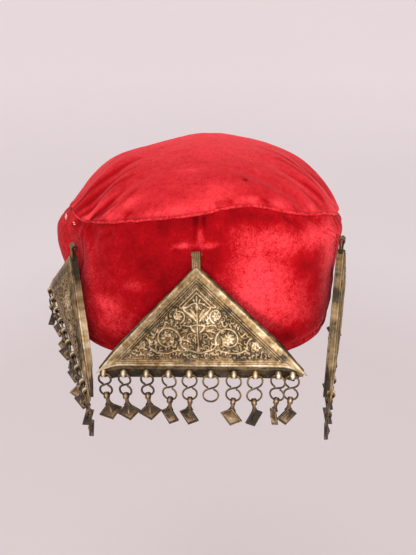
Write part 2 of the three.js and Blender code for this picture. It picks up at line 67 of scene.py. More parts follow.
# ---------------------------------------------------------------- the velvet cap, in mm
GAP = 0.3  # the crown stands this far over the bands
CROWN_TOP = 111.5
CROWN_TILT = 0.03  # the crown rises towards +X by this share
LEFT_CORNER = -49  # turns of the two seams between the bands
RIGHT_CORNER = 61

# Half sizes of the bands' plan at each level: 0 is the rim and 1 the seam under the crown.
# The square is the power of the plan's superellipse: 2 is an ellipse, and more is squarer.
BAND = {
    "level": (0, 0.15, 0.45, 0.75, 0.9, 1),
    "left": (91, 93, 97, 101, 98, 88),
    "right": (91, 93.5, 96.5, 99.5, 100, 95),
    "front": (99, 100, 98.5, 93, 89.5, 87.5),
    "back": (90, 93, 97, 97, 95, 92),
    "square": (2.9, 2.75, 2.35, 2.2, 2.15, 2.15),
}
# Height of the seam between the bands and the crown, round the cap.
SEAM = {
    "turn": (-180, -120, -80, -63, -53, -44, -33, -20, 0, 18, 31, 40, 50, 59, 68, 90, 120, 180),
    "height": (62, 63, 67, 74.5, 73, 75.5, 79.5, 84, 89, 93, 87.5, 83, 79, 75, 69, 62, 61, 62),
}
# Section of the crown from its seam to its middle: share of the seam's radius and of the rise.
DOME = {
    "way": (0, 0.06, 0.14, 0.24, 0.36, 0.5, 0.66, 0.8, 1),
    "reach": (1, 1.005, 0.95, 0.87, 0.75, 0.6, 0.45, 0.27, 0),
    "rise": (0, 0.085, 0.27, 0.45, 0.625, 0.77, 0.865, 0.95, 1),
}

# Creases of the crown: a line in plan, how wide and how deep it is at its start.
CROWN_FOLDS = np.array([
    # x, y, to x, to y, width, depth
    (-76, -64, -52, -38, 7, 7),
    (-70, -74, -30, -52, 6, 3),
    (-84, -44, -58, 6, 8, 3),
    (-82, -20, -62, 50, 22, 2.5),
    (-50, 30, -20, 60, 26, 4),
    (84, -10, 66, 50, 22, 1.5),
    (80, -66, 44, -36, 7, 4),
    (70, -72, 24, -60, 6, 3),
    (86, -40, 62, 10, 8, 4),
])
# Finer creases, most of them from the two front corners. A depth below 0 is a ridge.
CROWN_WRINKLES = np.array([
    (-80, -45, -38, -28, 2.2, 1.6),
    (-79, -50, -39, -40, 2.0, 1.5),
    (-75, -55, -40, -50, 1.9, 1.4),
    (-66, -66, -48, -67, 1.6, 2.2),
    (-62, -70, -44, -60, 1.5, 1.3),
    (-56, -74, -36, -66, 1.8, 1.2),
    (-63, -65, -50, -62, 3.4, -2.0),
    (-63, -65, -50, -62, 1.7, 4.4),
    (-84, -36, -50, -8, 2.6, 1.2),
    (82, -38, 40, -10, 2.4, 1.5),
    (79, -45, 50, -30, 2.0, 1.4),
    (75, -52, 50, -44, 2.0, 1.4),
    (70, -58, 44, -54, 1.8, 1.0),
    (86, -28, 64, 6, 2.4, 1.2),
    (85, -20, 70, 20, 2.8, 1.0),
])
# Where the crown stands fuller (above 0) or lower (below 0) than its plain section.
CROWN_LIFTS = np.array([
    # x, y, half x, half y, lean, height
    (-60, 4, 20, 30, 0, 4.2),
    (-14, 15, 24, 30, 0, -1.7),
    (42, 15, 22, 30, 0, -1.5),
])

# Creases of the bands: a line from one turn and level to another.
BAND_FOLDS = np.array([
    # turn, level, to turn, to level, width, depth
    (46, 0.96, 33, 0.74, 5, 0.4),
    (-6, 0.86, 7, 0.83, 5, 1.5),
    (-42, 0.9, -34, 0.5, 7, 2),
    (-55, 0.7, -60, 0.45, 20, 8.5),
    (100, 0.95, 92, 0.4, 8, 3),
    (-105, 0.95, -96, 0.45, 8, 3),
    (160, 0.9, 172, 0.3, 9, 3),
    (-158, 0.9, -150, 0.35, 9, 3),
])
# Finer creases of the bands, most of them down from the gathered seam.
BAND_WRINKLES = np.array([
    (31.5, 0.965, 42.5, 0.855, 1.1, 1.4),
    (36.5, 0.955, 41, 0.89, 1.0, 1.2),
    (44, 0.975, 51.5, 0.86, 1.1, 1.4),
    (47.5, 0.96, 51, 0.91, 1.1, 1.1),
    (-0.6, 0.97, -0.9, 0.84, 1.2, 1.9),
    (2.4, 0.96, 2.0, 0.86, 1.1, 1.5),
    (-7.5, 0.79, -3, 0.8, 1.5, 1.2),
    (2.5, 0.785, 6, 0.775, 1.4, 0.9),
    (-33, 0.92, -37, 0.87, 2.0, 1.2),
    (-46, 0.95, -41, 0.8, 2.2, 1.0),
    (-53, 0.97, -51, 0.8, 2.0, 1.4),
    (-62, 0.95, -58, 0.75, 2.4, 1.2),
    (66, 0.97, 70, 0.75, 2.4, 1.4),
    (80, 0.98, 82, 0.8, 2.6, 1.2),
    (118, 0.97, 115, 0.7, 3.0, 1.4),
    (140, 0.97, 146, 0.75, 2.6, 1.2),
    (180, 0.97, 178, 0.7, 3.0, 1.4),
    (208, 0.97, 214, 0.7, 2.8, 1.4),
    (240, 0.97, 236, 0.75, 3.0, 1.2),
    (272, 0.97, 276, 0.78, 2.6, 1.2),
])
# Cloth for one degree round the cap, and from the rim to the seam, where patterns are laid out.
MM_PER_DEGREE = 1.65
BAND_HEIGHT = 86

# Where the band is painted brighter (above 0) or darker (below 0): partly crushed pile that
# lies over or stands up, partly painted sheen highlights and painted shade, with a strong
# row of painted light that lifts the shade beside the right triangle.
BAND_PILE_AND_LIGHT = np.array([
    # turn, level, half turn, half level, lean, strength
    (20, 0.6, 9, 0.2, 10, 1.0),
    (17, 0.4, 8, 0.16, 0, 0.7),
    (27, 0.45, 8, 0.2, 0, 0.5),
    (34, 0.3, 10, 0.12, 0, 0.35),
    (29, 0.8, 12, 0.06, 0, 0.85),
    (46, 0.84, 9, 0.08, 0, 0.95),
    (52, 0.66, 6, 0.1, 0, 0.5),
    (39, 0.63, 7, 0.07, 0, -0.6),
    (48, 0.5, 6, 0.16, 0, -0.15),
    (31, 0.15, 6, 0.08, 0, -0.55),
    (36, 0.42, 7, 0.16, 0, 0.2),
    (55, 0.42, 6, 0.28, 0, 1.3),
    (56, 0.86, 7, 0.1, 0, 0.9),
    (36, 0.06, 16, 0.04, 0, 0.6),
    (-31.5, 0.4, 5, 0.06, 20, 1.25),
    (-22, 0.57, 6, 0.05, 20, 0.7),
    (-28, 0.27, 8, 0.1, 0, 0.6),
    (-5.3, 0.812, 3.4, 0.02, 3, 1.9),
    (3.8, 0.793, 2.8, 0.017, -3, 1.6),
    (0.9, 0.86, 1.2, 0.05, 0, 1.1),
    (-43, 0.5, 5, 0.5, 0, 0.5),
    (-12, 0.6, 14, 0.3, 0, -0.55),
    (6, 0.7, 6, 0.1, 0, -0.5),
    (-8, 0.95, 18, 0.05, 0, -0.5),
    (22, 0.94, 9, 0.05, 0, -0.6),
    (85, 0.5, 14, 0.3, 0, 0.5),
    (120, 0.4, 12, 0.2, 0, -0.4),
    (150, 0.65, 12, 0.2, 0, 0.6),
    (178, 0.35, 14, 0.16, 0, 0.4),
    (200, 0.6, 10, 0.2, 0, -0.5),
    (232, 0.5, 12, 0.25, 0, 0.6),
    (265, 0.6, 12, 0.3, 0, 0.3),
    (300, 0.75, 7, 0.25, 0, 0.35),
])
# The same for the crown, over the value that it has all over: pile, painted sheen highlights
# along its top and sides, and painted shade.
CROWN_NAP_BASE = 0.42
CROWN_PILE_AND_LIGHT = np.array([
    # x, y, half x, half y, lean, strength
    (-6, -85, 12, 4, 0, 0.5),
    (10, -80, 8, 7, 0, 0.6),
    (-38, -73, 6, 3, 25, 0.9),
    (-52, -70, 8, 3, 20, 0.7),
    (-66, -62, 7, 4, 0, 0.5),
    (14, -30, 26, 14, 0, 0.25),
    (5, 15, 60, 34, 0, 0.5),
    (26.5, -70.9, 0.9, 0.9, 0, -5),  # a small dark speck
    (-4, -58, 7, 3, 0, 0.35),
    (60, -52, 10, 8, -30, 0.3),
    (80, -36, 8, 14, 0, 0.7),
    (-50, -45, 16, 12, 20, -0.2),
    (34, -66, 22, 9, 0, -0.2),
    (30, 30, 22, 16, 0, 0.4),
    (-30, 40, 20, 14, 0, -0.3),
    (50, 50, 14, 12, 0, 0.5),
    (-60, 10, 14, 14, 0, 0.4),
])

# The crown's edge is rolled: how far out of the seam and over it each row of the roll lies.
CROWN_ROLL = ((-1.5, -0.9), (-0.5, -1.25), (0.45, -1.0), (0.95, -0.2))
EDGE_WAVE = 5.2  # the rolled edge swings in and out over about this length
CROWN_GRID = (420, 76)  # points round the crown and from its seam to its middle
FRONT_GRID = (230, 92)  # points along a band and up it
BACK_GRID = (380, 80)
NOISE_SHIFT = 400  # the edge's finer noises start this far along their nets
END_LAP = 0.1  # degrees by which each band runs past its corner, so that the seam is closed

HEM_STITCH = 4.8  # the hem's stitches stand this far over the rim
STITCH_STEP = 4.2
RIM_RADIUS = 95  # the rim's mean radius, for the number of stitches
HEM_THREAD = (1.25, 0.24)  # half length and half thickness of a stitch
CORNER_THREAD = (1.8, 0.45)
# Pale stitches at the left corner: turn and level of each, and its slant in degrees.
SEWN_CORNER = np.array([
    (-65.2, 0.945, 155), (-64.4, 0.93, 150), (-61, 0.985, 10), (-57.3, 0.942, 15),
    (-56.3, 0.936, 15),
])

# ---------------------------------------------------------------- the silver, in mm
# How each triangle hangs: turn of its face about the plumb line, lean away from the cloth, and
# roll in its own plane, in degrees, and how much painted shade darkens its face and bail where
# they are seen at a slant. The bail's middle is the joint's place.
AMULETS = {
    "front": {"yaw": -5.6, "lean": 16, "roll": 3.1, "painted_shade": 0},
    "left": {"yaw": -63.6, "lean": 7.5, "roll": -7.2, "painted_shade": 0.14},
    "right": {"yaw": 75, "lean": 1.9, "roll": 3.1, "painted_shade": 0.24},
}
HALF_BASE = 57.5  # half the width of the face along its bottom
CASE_HEIGHT = 57.5  # from the bottom of the face to its apex
CASE_DEPTH = 4.8
APEX_DROP = 6  # from the middle of the bail's hole down to the apex
BOTTOM_FLARE = 8.6  # the case's bottom lies this much lower at the back than at the face
TIP_CUT = 4.6  # the back plate's two tips are cut off this far in from the face's
TIP_SHARE = 0.8  # and on the slopes at this share of the way down
FACE_RISE = 2.4  # the face swells by this much from its edge to its middle
TIP_BLUNT = 1.2  # every corner is cut off this far
BENT_FROM = 45  # past this far from the middle a tip is bent down and drawn out
TIP_BEND = 0.032  # by these shares of the squared way
TIP_PULL = 0.018
BORDER = 7  # width of the plain frame along the two slopes
LOWER_BORDER = 4.6  # and along the bottom
FIELD_SINK = 0.6  # the chased field lies this much lower than the frame
# Engraved lines of the frame: how far outside the field, how wide and how deep.
FRAME_LINES = ((0.5, 0.3, 0.34), (1.7, 0.26, 0.28), (3.0, 0.24, 0.22))
# Painted highlights, where the chased field is painted bright.
FACE_PAINTED_HIGHLIGHTS = np.array([
    # x, z, half x, half z, lean, strength
    (8, 27, 5, 4.5, 0, 0.42),
    (19.5, 16, 3.4, 2.6, 0, 0.5),
])
STROKE_NET = 0.16  # spacing of the points at which the ornament's height is kept
CHEVRON_FOOT = 35.6  # a double chevron takes the place of the strokes over this height
# Small leaves that fill what the scrolls leave bare: spacing, length and width of each pass.
FILLERS = ((2.6, 2.4, 0.46), (2.1, 1.9, 0.4), (1.7, 1.2, 0.36))
HIDDEN_TONE = 0.3  # how worn the plain backs and middles are
FACE_GRID = {"front": 361, "left": 301, "right": 301}  # points across each face
BAIL_WIDTH = 4.9
BAIL_REACH = 1.4  # from the middle of the bail's hole to the middle of its strip
BAIL_PINCH = 0.66  # the two sides of the strip close on each other under the thread
# Each loop's place along the bottom, from the left corner to the right one.
LOOP_PLACES = (0.018, 0.12, 0.235, 0.347, 0.45, 0.556, 0.67, 0.775, 0.886, 0.954)
LOOP_BACK = 0.4  # the loops' middles lie this far behind the face
LOOP_DROP = 4.7  # and this far under the bottom of the case
SLACK = 0.3  # a hook hangs this far under its loop's middle, and a drop under its hook's foot
WIRE = 0.55
HEAVY_WIRE = 0.62  # of the smaller hooks
WIRE_FLAT = 0.39  # from the middle of the solid hook's wire to its flats
EYE_WIDE = 3.8  # half sizes of a hook's oval eye, to the middle of its wire
EYE_TALL = 4.35
EYE_START = -69  # degrees round the eye where its wire begins and where it leaves for the bridge
EYE_END = 250
SQUARE_REACH = 6.9  # from the middle of a square to its corners
SQUARE_PEAK = 2  # height of the stamped pyramid
SQUARE_SHEET = 0.8  # thickness of the sheet that it is stamped from
DROP_NECK = 5.2  # from the middle of a drop's bail down to its square's top corner
LOOP_STRIP = (1.85, 1.72, 0.55)  # radius, half width and half thickness of a case's loop
BAIL_STRIP = (1.72, 1.5, 0.46)  # and of a drop's bail
THREAD = 0.18  # half thickness of the sewing thread
# The thread's two turns: how far over the middle of the bail, and how far out beside it.
THREAD_TURNS = ((0.3, 0.0), (-0.3, 0.3))

# Each drop from the left corner to the right one: size of its hook, turn of the hook, turn of
# the square against it (None is a bare hook), swing, and which stamp it has.
DROPS = {
    "front": (
        (0.95, 4, 24, -6, "plain"), (0.96, -6, 18, -4, "plain"), (0.94, 3, 8, -3, "plain"),
        (1.12, -10, -22, 2, "nested"), (1.12, 8, -36, 3, "nested"), (1.19, 4, None, 0, "plain"),
        (1.14, -5, -16, 4, "smooth"), (1.15, 9, -144, -3, "nested"), (1.08, -16, -58, 3, "smooth"),
        (1.05, -4, 35, 5, "nested"),
    ),
    "left": (
        (0.98, 10, -50, 12, "plain"), (0.94, -8, 30, 4, "nested"), (1.05, 10, 20, -5, "smooth"),
        (0.98, -6, 46, 3, "plain"), (1.02, 6, -20, -3, "nested"), (0.94, -10, 38, 2, "plain"),
        (1, 4, 60, -3, "smooth"), (0.94, 9, 26, 3, "plain"), (0.96, -10, -34, 1, "nested"),
        (0.95, -4, -20, -2, "plain"),
    ),
    "right": (
        (0.86, -2, 10, 2, "plain"), (0.94, -6, 30, -2, "nested"), (0.94, 10, 12, 2, "plain"),
        (1, -8, 46, 3, "smooth"), (0.96, 6, 20, -2, "plain"), (0.94, -10, 38, 2, "nested"),
        (0.98, 4, 14, -2, "plain"), (0.95, 9, 26, 3, "plain"), (0.98, -9, 64, 0, "smooth"),
        (0.92, -4, 16, -6, "nested"),
    ),
}

# ---------------------------------------------------------------- the stage, in metres
FLOOR_LEVEL = -0.34
FLOOR_FLAT = 1.6  # the floor is flat this far out
WORLD_TINT = (1.0, 0.955, 0.962, 1)
WORLD_STRENGTH = 0.91
AREA_LAMPS = (
    # name, place, aim, size, power, tint
    ("key", (0.2, -0.9, 0.72), (0, 0, 0.04), 0.45, 1.4, (1, 0.97, 0.94)),
    ("front", (0.0, -0.6, 0.2), (0, 0, 0.05), 0.3, 1.1, (1, 0.97, 0.95)),
    ("top", (-0.15, 0.35, 0.9), (0, 0, 0), 0.6, 3.0, (1, 0.98, 0.97)),
)
# A soft round patch of light on the band between the front triangle and the right one:
# name, place, aim, size, power and angle of the cone in degrees.
CORNER_SPOT = ("right corner", (0.0, -0.5, 0.08), (0.081, -0.06, 0.038), 0.05, 7.0, 20)
CAMERA_PLACE = (0.0058, -0.3426, 0.1858)
CAMERA_DOWN = 28  # degrees under level
CAMERA_LENS = 32.43  # this and the sensor's width are in mm
CAMERA_SENSOR = 36


# ---------------------------------------------------------------- settings a user would change
class VelvetSettings(bpy.types.PropertyGroup):
    """Thickness and colours of the velvet"""

    wall: bpy.props.FloatProperty(
        name="Wall", description="Thickness of the velvet with its backing",
        default=0.0018, min=0.0005, max=0.003, unit="LENGTH")
    # The deep red also serves as painted shade and the bright red as painted sheen highlight, where the
    # velvet's pile and light value reaches them.
    deep: bpy.props.FloatVectorProperty(
        name="Deep red", description="Colour where the pile stands up",
        default=(0.19, 0.0, 0.002), min=0, max=1, subtype="COLOR")
    middle: bpy.props.FloatVectorProperty(
        name="Red", description="Colour of most of the velvet",
        default=(0.4, 0.002, 0.006), min=0, max=1, subtype="COLOR")
    bright: bpy.props.FloatVectorProperty(
        name="Bright red", description="Colour where the pile lies over",
        default=(0.87, 0.048, 0.062), min=0, max=1, subtype="COLOR")
    mottle: bpy.props.FloatProperty(
        name="Mottle", description="How much the crushed pile breaks up its patches",
        default=2.4, min=0, max=4, subtype="FACTOR")


class MetalSettings(bpy.types.PropertyGroup):
    """Relief and colours of the silver, the hooks and the drops"""

    relief: bpy.props.FloatProperty(
        name="Relief", description="Height of the chased ornament over its ground",
        default=0.00055, min=0, max=0.001, unit="LENGTH")
    recess: bpy.props.FloatVectorProperty(
        name="Recess", description="Colour of the tarnish in the ground",
        default=(0.048, 0.039, 0.025), min=0, max=1, subtype="COLOR")
    silver: bpy.props.FloatVectorProperty(
        name="Silver", description="Colour of the handled metal",
        default=(0.325, 0.226, 0.118), min=0, max=1, subtype="COLOR")
    worn: bpy.props.FloatVectorProperty(
        name="Worn edge", description="Colour of edges rubbed bright",
        default=(0.66, 0.54, 0.36), min=0, max=1, subtype="COLOR")
    patina: bpy.props.FloatVectorProperty(
        name="Patina", description="Colour of the dark hooks and drops",
        default=(0.085, 0.064, 0.042), min=0, max=1, subtype="COLOR")
    # Amber is also the colour of the painted highlight on the squares' lower halves.
    amber: bpy.props.FloatVectorProperty(
        name="Amber", description="Colour of the patina where it is handled",
        default=(0.25, 0.155, 0.065), min=0, max=1, subtype="COLOR")


# ---------------------------------------------------------------- helpers for shapes
def through(table, key, column, x):
    """A smooth curve through a column of a table, over the table's key column.

    Each stretch is a cubic whose slope at a row is the mean of the slopes of the straight
    lines to the rows beside it.
    """
    at = np.array(table[key], float)
    value = np.array(table[column], float)
    x = np.clip(x, at[0], at[-1])
    line = np.diff(value) / np.diff(at)
    slope = np.concatenate([line[:1], (line[1:] + line[:-1]) / 2, line[-1:]])
    i = np.clip(np.searchsorted(at, x, side="right") - 1, 0, len(at) - 2)
    width = at[i + 1] - at[i]
    p = (x - at[i]) / width
    q = 1 - p
    ends = (1 + 2 * p) * q * q * value[i] + (3 - 2 * p) * p * p * value[i + 1]
    return ends + width * (p * q * q * slope[i] - p * p * q * slope[i + 1])


def bell(x, middle, width):
    """1 at the middle, and fading as a bell on both sides of it."""
    return np.exp(-((x - middle) / width) ** 2)


def soft_noise(x, y, size, seed):
    """Heights from -1 to 1 at the knots of a square net, joined by smooth steps."""
    net = np.random.default_rng(seed).uniform(-1, 1, (97, 97))
    u, v = np.asarray(x) / size, np.asarray(y) / size
    i, j = np.floor(u).astype(int), np.floor(v).astype(int)
    p, q = u - i, v - j
    p, q = p * p * (3 - 2 * p), q * q * (3 - 2 * q)
    low = net[i % 97, j % 97] * (1 - p) + net[(i + 1) % 97, j % 97] * p
    high = net[i % 97, (j + 1) % 97] * (1 - p) + net[(i + 1) % 97, (j + 1) % 97] * p
    return low * (1 - q) + high * q


def noise_along(way, size, seed):
    """Soft noise along a line: one row of the noise's net."""
    return soft_noise(way, 0 * way, size, seed)


def crease_depth(folds, x, y):
    """Depth of creases: each is deepest along its line and fades as a bell across it.

    The depth falls to three tenths from the line's start to its end.
    """
    ax, ay, bx, by, width, depth = folds.T
    dx, dy = bx - ax, by - ay
    px, py = x[..., None] - ax, y[..., None] - ay
    near = np.clip((px * dx + py * dy) / (dx * dx + dy * dy), 0, 1)
    away = (px - near * dx) ** 2 + (py - near * dy) ** 2
    return (depth * (1 - 0.7 * near) * np.exp(-away / width**2)).sum(-1)


def patches(table, x, y):
    """Sum of leaning oval bells: place, half sizes, lean in degrees and strength of each."""
    cx, cy, half_x, half_y, lean, strength = table.T
    px, py = x[..., None] - cx, y[..., None] - cy
    turn = np.radians(lean)
    u = px / half_x * np.cos(turn) + py / half_y * np.sin(turn)
    v = py / half_y * np.cos(turn) - px / half_x * np.sin(turn)
    return (strength * np.exp(-(u * u + v * v))).sum(-1)


def grid_normals(grid, wraps):
    """Unit normals of a grid of points, from the cross product of its two directions."""
    if wraps:
        along = np.roll(grid, -1, 0) - np.roll(grid, 1, 0)
    else:
        along = np.gradient(grid, axis=0)
    normal = np.cross(along, np.gradient(grid, axis=1))
    size = np.linalg.norm(normal, axis=-1, keepdims=True)
    return np.where(size > 1e-9, normal / np.maximum(size, 1e-9), (0, 0, 1))


def quads(rows, columns, wraps=False, flip=False, first=0):
    """Corner numbers of a grid's faces, for points in order row by row."""
    i = np.arange(rows if wraps else rows - 1)[:, None]
    j = np.arange(columns - 1)[None, :]
    after = (i + 1) % rows
    ring = (i * columns + j, after * columns + j, after * columns + j + 1, i * columns + j + 1)
    faces = np.stack(np.broadcast_arrays(*ring), -1).reshape(-1, 4) + first
    return faces[:, ::-1] if flip else faces


def strip_between(lower, upper):
    """Faces between two rows of corner numbers of the same length."""
    return np.stack([lower[:-1], lower[1:], upper[1:], upper[:-1]], -1)


def ring_walls(rings, sides):
    """Faces between closed rings of corner numbers, each ring numbered after the one before."""
    numbers = np.arange(rings * sides).reshape(rings, sides)
    after = np.roll(numbers, -1, 1)
    return np.stack([numbers[:-1], numbers[1:], after[1:], after[:-1]], -1).reshape(-1, 4)


def fan(ring, after, middle):
    """Triangles from each corner of a ring and the corner after it to a middle point's number."""
    middle = np.full(len(ring), middle)
    return np.stack([ring, after, middle, middle], -1)


def closed_shell(outer, inner, wraps=False):
    """A wall between two grids of points, closed along its edges."""
    rows, columns = outer.shape[:2]
    count = rows * columns
    faces = [quads(rows, columns, wraps), quads(rows, columns, wraps, True, count)]
    numbers = np.arange(count).reshape(rows, columns)
    across = np.concatenate([numbers, numbers[:1]]) if wraps else numbers
    faces.append(strip_between(across[:, 0] + count, across[:, 0]))
    faces.append(strip_between(across[:, -1], across[:, -1] + count))
    if not wraps:
        faces.append(strip_between(numbers[0], numbers[0] + count))
        faces.append(strip_between(numbers[-1] + count, numbers[-1]))
    points = np.concatenate([outer.reshape(-1, 3), inner.reshape(-1, 3)])
    return points, np.concatenate(faces)


def tube(path, radius, sides, across=(0, 1, 0)):
    """A round rod along a path: rings of points about each point of the path, capped by cones.

    `across` is a direction that the path never runs along.
    """
    path = np.asarray(path, float)
    ahead = np.gradient(path, axis=0)
    ahead /= np.linalg.norm(ahead, axis=-1, keepdims=True)
    side = np.cross(ahead, across)
    side /= np.linalg.norm(side, axis=-1, keepdims=True)
    up = np.cross(side, ahead)
    turn = np.linspace(0, 2 * np.pi, sides, endpoint=False)[None, :, None]
    radius = np.broadcast_to(radius, len(path))[:, None, None]
    rings = path[:, None] + radius * (side[:, None] * np.cos(turn) + up[:, None] * np.sin(turn))
    count = len(path) * sides
    ends = np.stack([path[0] - ahead[0] * radius[0, 0] / 2, path[-1] + ahead[-1] * radius[-1, 0] / 2])
    numbers = np.arange(sides)
    after = (numbers + 1) % sides
    last = count - sides
    start = fan(numbers, after, count)
    end = fan(last + after, last + numbers, count + 1)
    faces = np.concatenate([ring_walls(len(path), sides), start, end])
    return np.concatenate([rings.reshape(-1, 3), ends]), faces


def ring_of_strip(radius, half_width, thick, steps=28, sides=12):
    """A strip bent into a ring about X: an oval section carried round a circle."""
    turn = np.linspace(0, 2 * np.pi, steps, endpoint=False)[:, None]
    around = np.linspace(0, 2 * np.pi, sides, endpoint=False)[None, :]
    reach = radius + thick * np.cos(around)
    x = np.broadcast_to(half_width * np.sin(around), (steps, sides))
    points = np.stack([x, reach * np.cos(turn), reach * np.sin(turn)], -1)
    numbers = np.arange(steps * sides).reshape(steps, sides)
    ahead, aside = np.roll(numbers, -1, 0), np.roll(numbers, -1, 1)
    both = np.roll(ahead, -1, 1)
    faces = np.stack([numbers, aside, both, ahead], -1).reshape(-1, 4)
    return points.reshape(-1, 3), faces


def together(*parts):
    """Several sets of points and faces as one."""
    offsets = np.cumsum([0] + [len(points) for points, _ in parts[:-1]])
    points = np.concatenate([points for points, _ in parts])
    return points, np.concatenate([faces + offset for (_, faces), offset in zip(parts, offsets)])


def turned(degrees, axis):
    """Matrix that turns points about X, Y or Z."""
    c, s = np.cos(np.radians(degrees)), np.sin(np.radians(degrees))
    a, b = {"x": (1, 2), "y": (2, 0), "z": (0, 1)}[axis]
    matrix = np.eye(3)
    matrix[a, a] = matrix[b, b] = c
    matrix[a, b], matrix[b, a] = -s, s
    return matrix


def new_piece(name, points, faces, body, material, attributes=(), smooth=True):
    """Puts points in mm and faces into a mesh in metres that rides on a body."""
    mesh = bpy.data.meshes.new(name)
    rings = [tuple(dict.fromkeys(face)) for face in (faces if isinstance(faces, list) else faces.tolist())]
    mesh.from_pydata((points * MM).tolist(), [], rings)
    mesh.polygons.foreach_set("use_smooth", np.full(len(mesh.polygons), smooth))
    for label, values in attributes:
        mesh.attributes.new(label, "FLOAT", "POINT").data.foreach_set(
            "value", np.asarray(values, np.float32).ravel())
    mesh.materials.append(material)
    mesh.update()
    piece = bpy.data.objects.new(name, mesh)
    bpy.context.scene.collection.objects.link(piece)
    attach(piece, body)
    return piece


# ---------------------------------------------------------------- helpers for finishes
class Finish:
    """A node material under construction: `node` adds a node and links what it is given."""

    def __init__(self, name):
        self.material = bpy.data.materials.new(name)
        self.material.use_nodes = True
        self.tree = self.material.node_tree
        self.shader = self.tree.nodes["Principled BSDF"]

    def node(self, kind, inputs=None, **settings):
        """A new node with its settings, its inputs fed with sockets or values."""
        made = self.tree.nodes.new(kind)
        for key, value in settings.items():
            setattr(made, key, value)
        for key, value in (inputs or {}).items():
            self.feed(made.inputs[key], value)
        return made

    def feed(self, socket, value):
        """Links a socket to another one, or gives it a value of its own."""
        if isinstance(value, bpy.types.NodeSocket):
            self.tree.links.new(value, socket)
        else:
            socket.default_value = value

    def place(self):
        """A point's place on its object."""
        return self.node("ShaderNodeTexCoord").outputs["Object"]

    def reads(self, attribute):
        """What a mesh keeps for each of its points under a name."""
        return self.node("ShaderNodeAttribute", attribute_name=attribute).outputs["Fac"]

    def noise(self, scale, detail=2.0, rough=0.5, stretch=None):
        """Noise from 0 to 1, with a number of lumps to the metre and a stretch for each axis."""
        at = self.place()
        if stretch:
            at = self.node("ShaderNodeMapping", {"Vector": at, "Scale": stretch}).outputs[0]
        inputs = {"Vector": at, "Scale": scale, "Detail": detail, "Roughness": rough}
        return self.node("ShaderNodeTexNoise", inputs).outputs["Fac"]

    def spread(self, value, amount):
        """A value from 0 to 1 as one from minus to plus half the amount."""
        return self.maths("MULTIPLY_ADD", value, amount, -amount / 2)

    def maths(self, how, a, b=0.0, c=0.0):
        """One step of arithmetic."""
        made = self.node("ShaderNodeMath", operation=how)
        for socket, value in zip(made.inputs, (a, b, c)):
            self.feed(socket, value)
        return made.outputs[0]

    def ramp(self, value, stops):
        """A colour that runs through its stops as the value grows."""
        made = self.node("ShaderNodeValToRGB", {"Fac": value})
        elements = made.color_ramp.elements
        while len(elements) < len(stops):
            elements.new(0.5)
        for element, (at, colour) in zip(elements, stops):
            element.position = at
            element.color = (*colour, 1)
        return made.outputs["Color"]

    def bump(self, height, distance, strength):
        """Fine relief that only shows in the shading."""
        inputs = {"Height": height, "Distance": distance, "Strength": strength}
        return self.node("ShaderNodeBump", inputs).outputs["Normal"]

    def set(self, **values):
        """Feeds the shader's sockets by their names, and gives the finished material."""
        for key, value in values.items():
            self.feed(self.shader.inputs[key.replace("_", " ")], value)
        return self.material


BLACK = (0, 0, 0)


def blended(a, b, share):
    """A colour on the way from one to another."""
    return tuple(x + (y - x) * share for x, y in zip(a, b))


def velvet_finish(name, break_up):
    """Velvet: patches painted brighter or darker, partly the pile's own look and partly
    painted sheen highlights and painted shade, broken into a fine mottle.

    The smooth velvet of the crown is broken up half as much as the crushed one of the bands.
    """
    settings = bpy.context.scene.kasaba_velvet
    f = Finish(name)
    speck = f.spread(f.noise(1150, 3, 0.65), settings.mottle)
    clumps = f.spread(f.noise(330, 3, 0.6), 1.5)
    drifts = f.spread(f.noise(95, 3, 0.6), 1.3 * break_up)
    pile_and_light = f.reads("pile_and_painted_light")
    # The mottle is strongest where the pile and light value is above 0: lying pile and painted sheen
    # highlight.
    broken = f.maths("MULTIPLY_ADD", f.maths("MAXIMUM", pile_and_light, 0.0), 1.15 * break_up, 0.6 * break_up)
    rough = f.maths("ADD", f.maths("MULTIPLY", f.maths("ADD", speck, clumps), broken), drifts)
    at = f.maths("MULTIPLY_ADD", f.maths("ADD", pile_and_light, rough), 0.34, 0.4)
    deep, middle, bright = settings.deep, settings.middle, settings.bright
    # The deep end of the ramp is painted shade as well as standing pile, and the bright end is painted
    # sheen highlight as well as lying pile.
    colour = f.ramp(at, (
        (0.08, deep), (0.4, middle), (0.6, blended(middle, bright, 0.42)), (0.9, bright)))
    pile = f.bump(f.maths("ADD", f.noise(2600, 2, 0.6), f.noise(500, 2, 0.6)), 0.0006, 0.45)
    return f.set(Base_Color=colour, Roughness=0.8, Sheen_Weight=0.5, Sheen_Roughness=0.3,
                 Sheen_Tint=(1.0, 0.18, 0.2, 1), Specular_IOR_Level=0.06, Normal=pile)


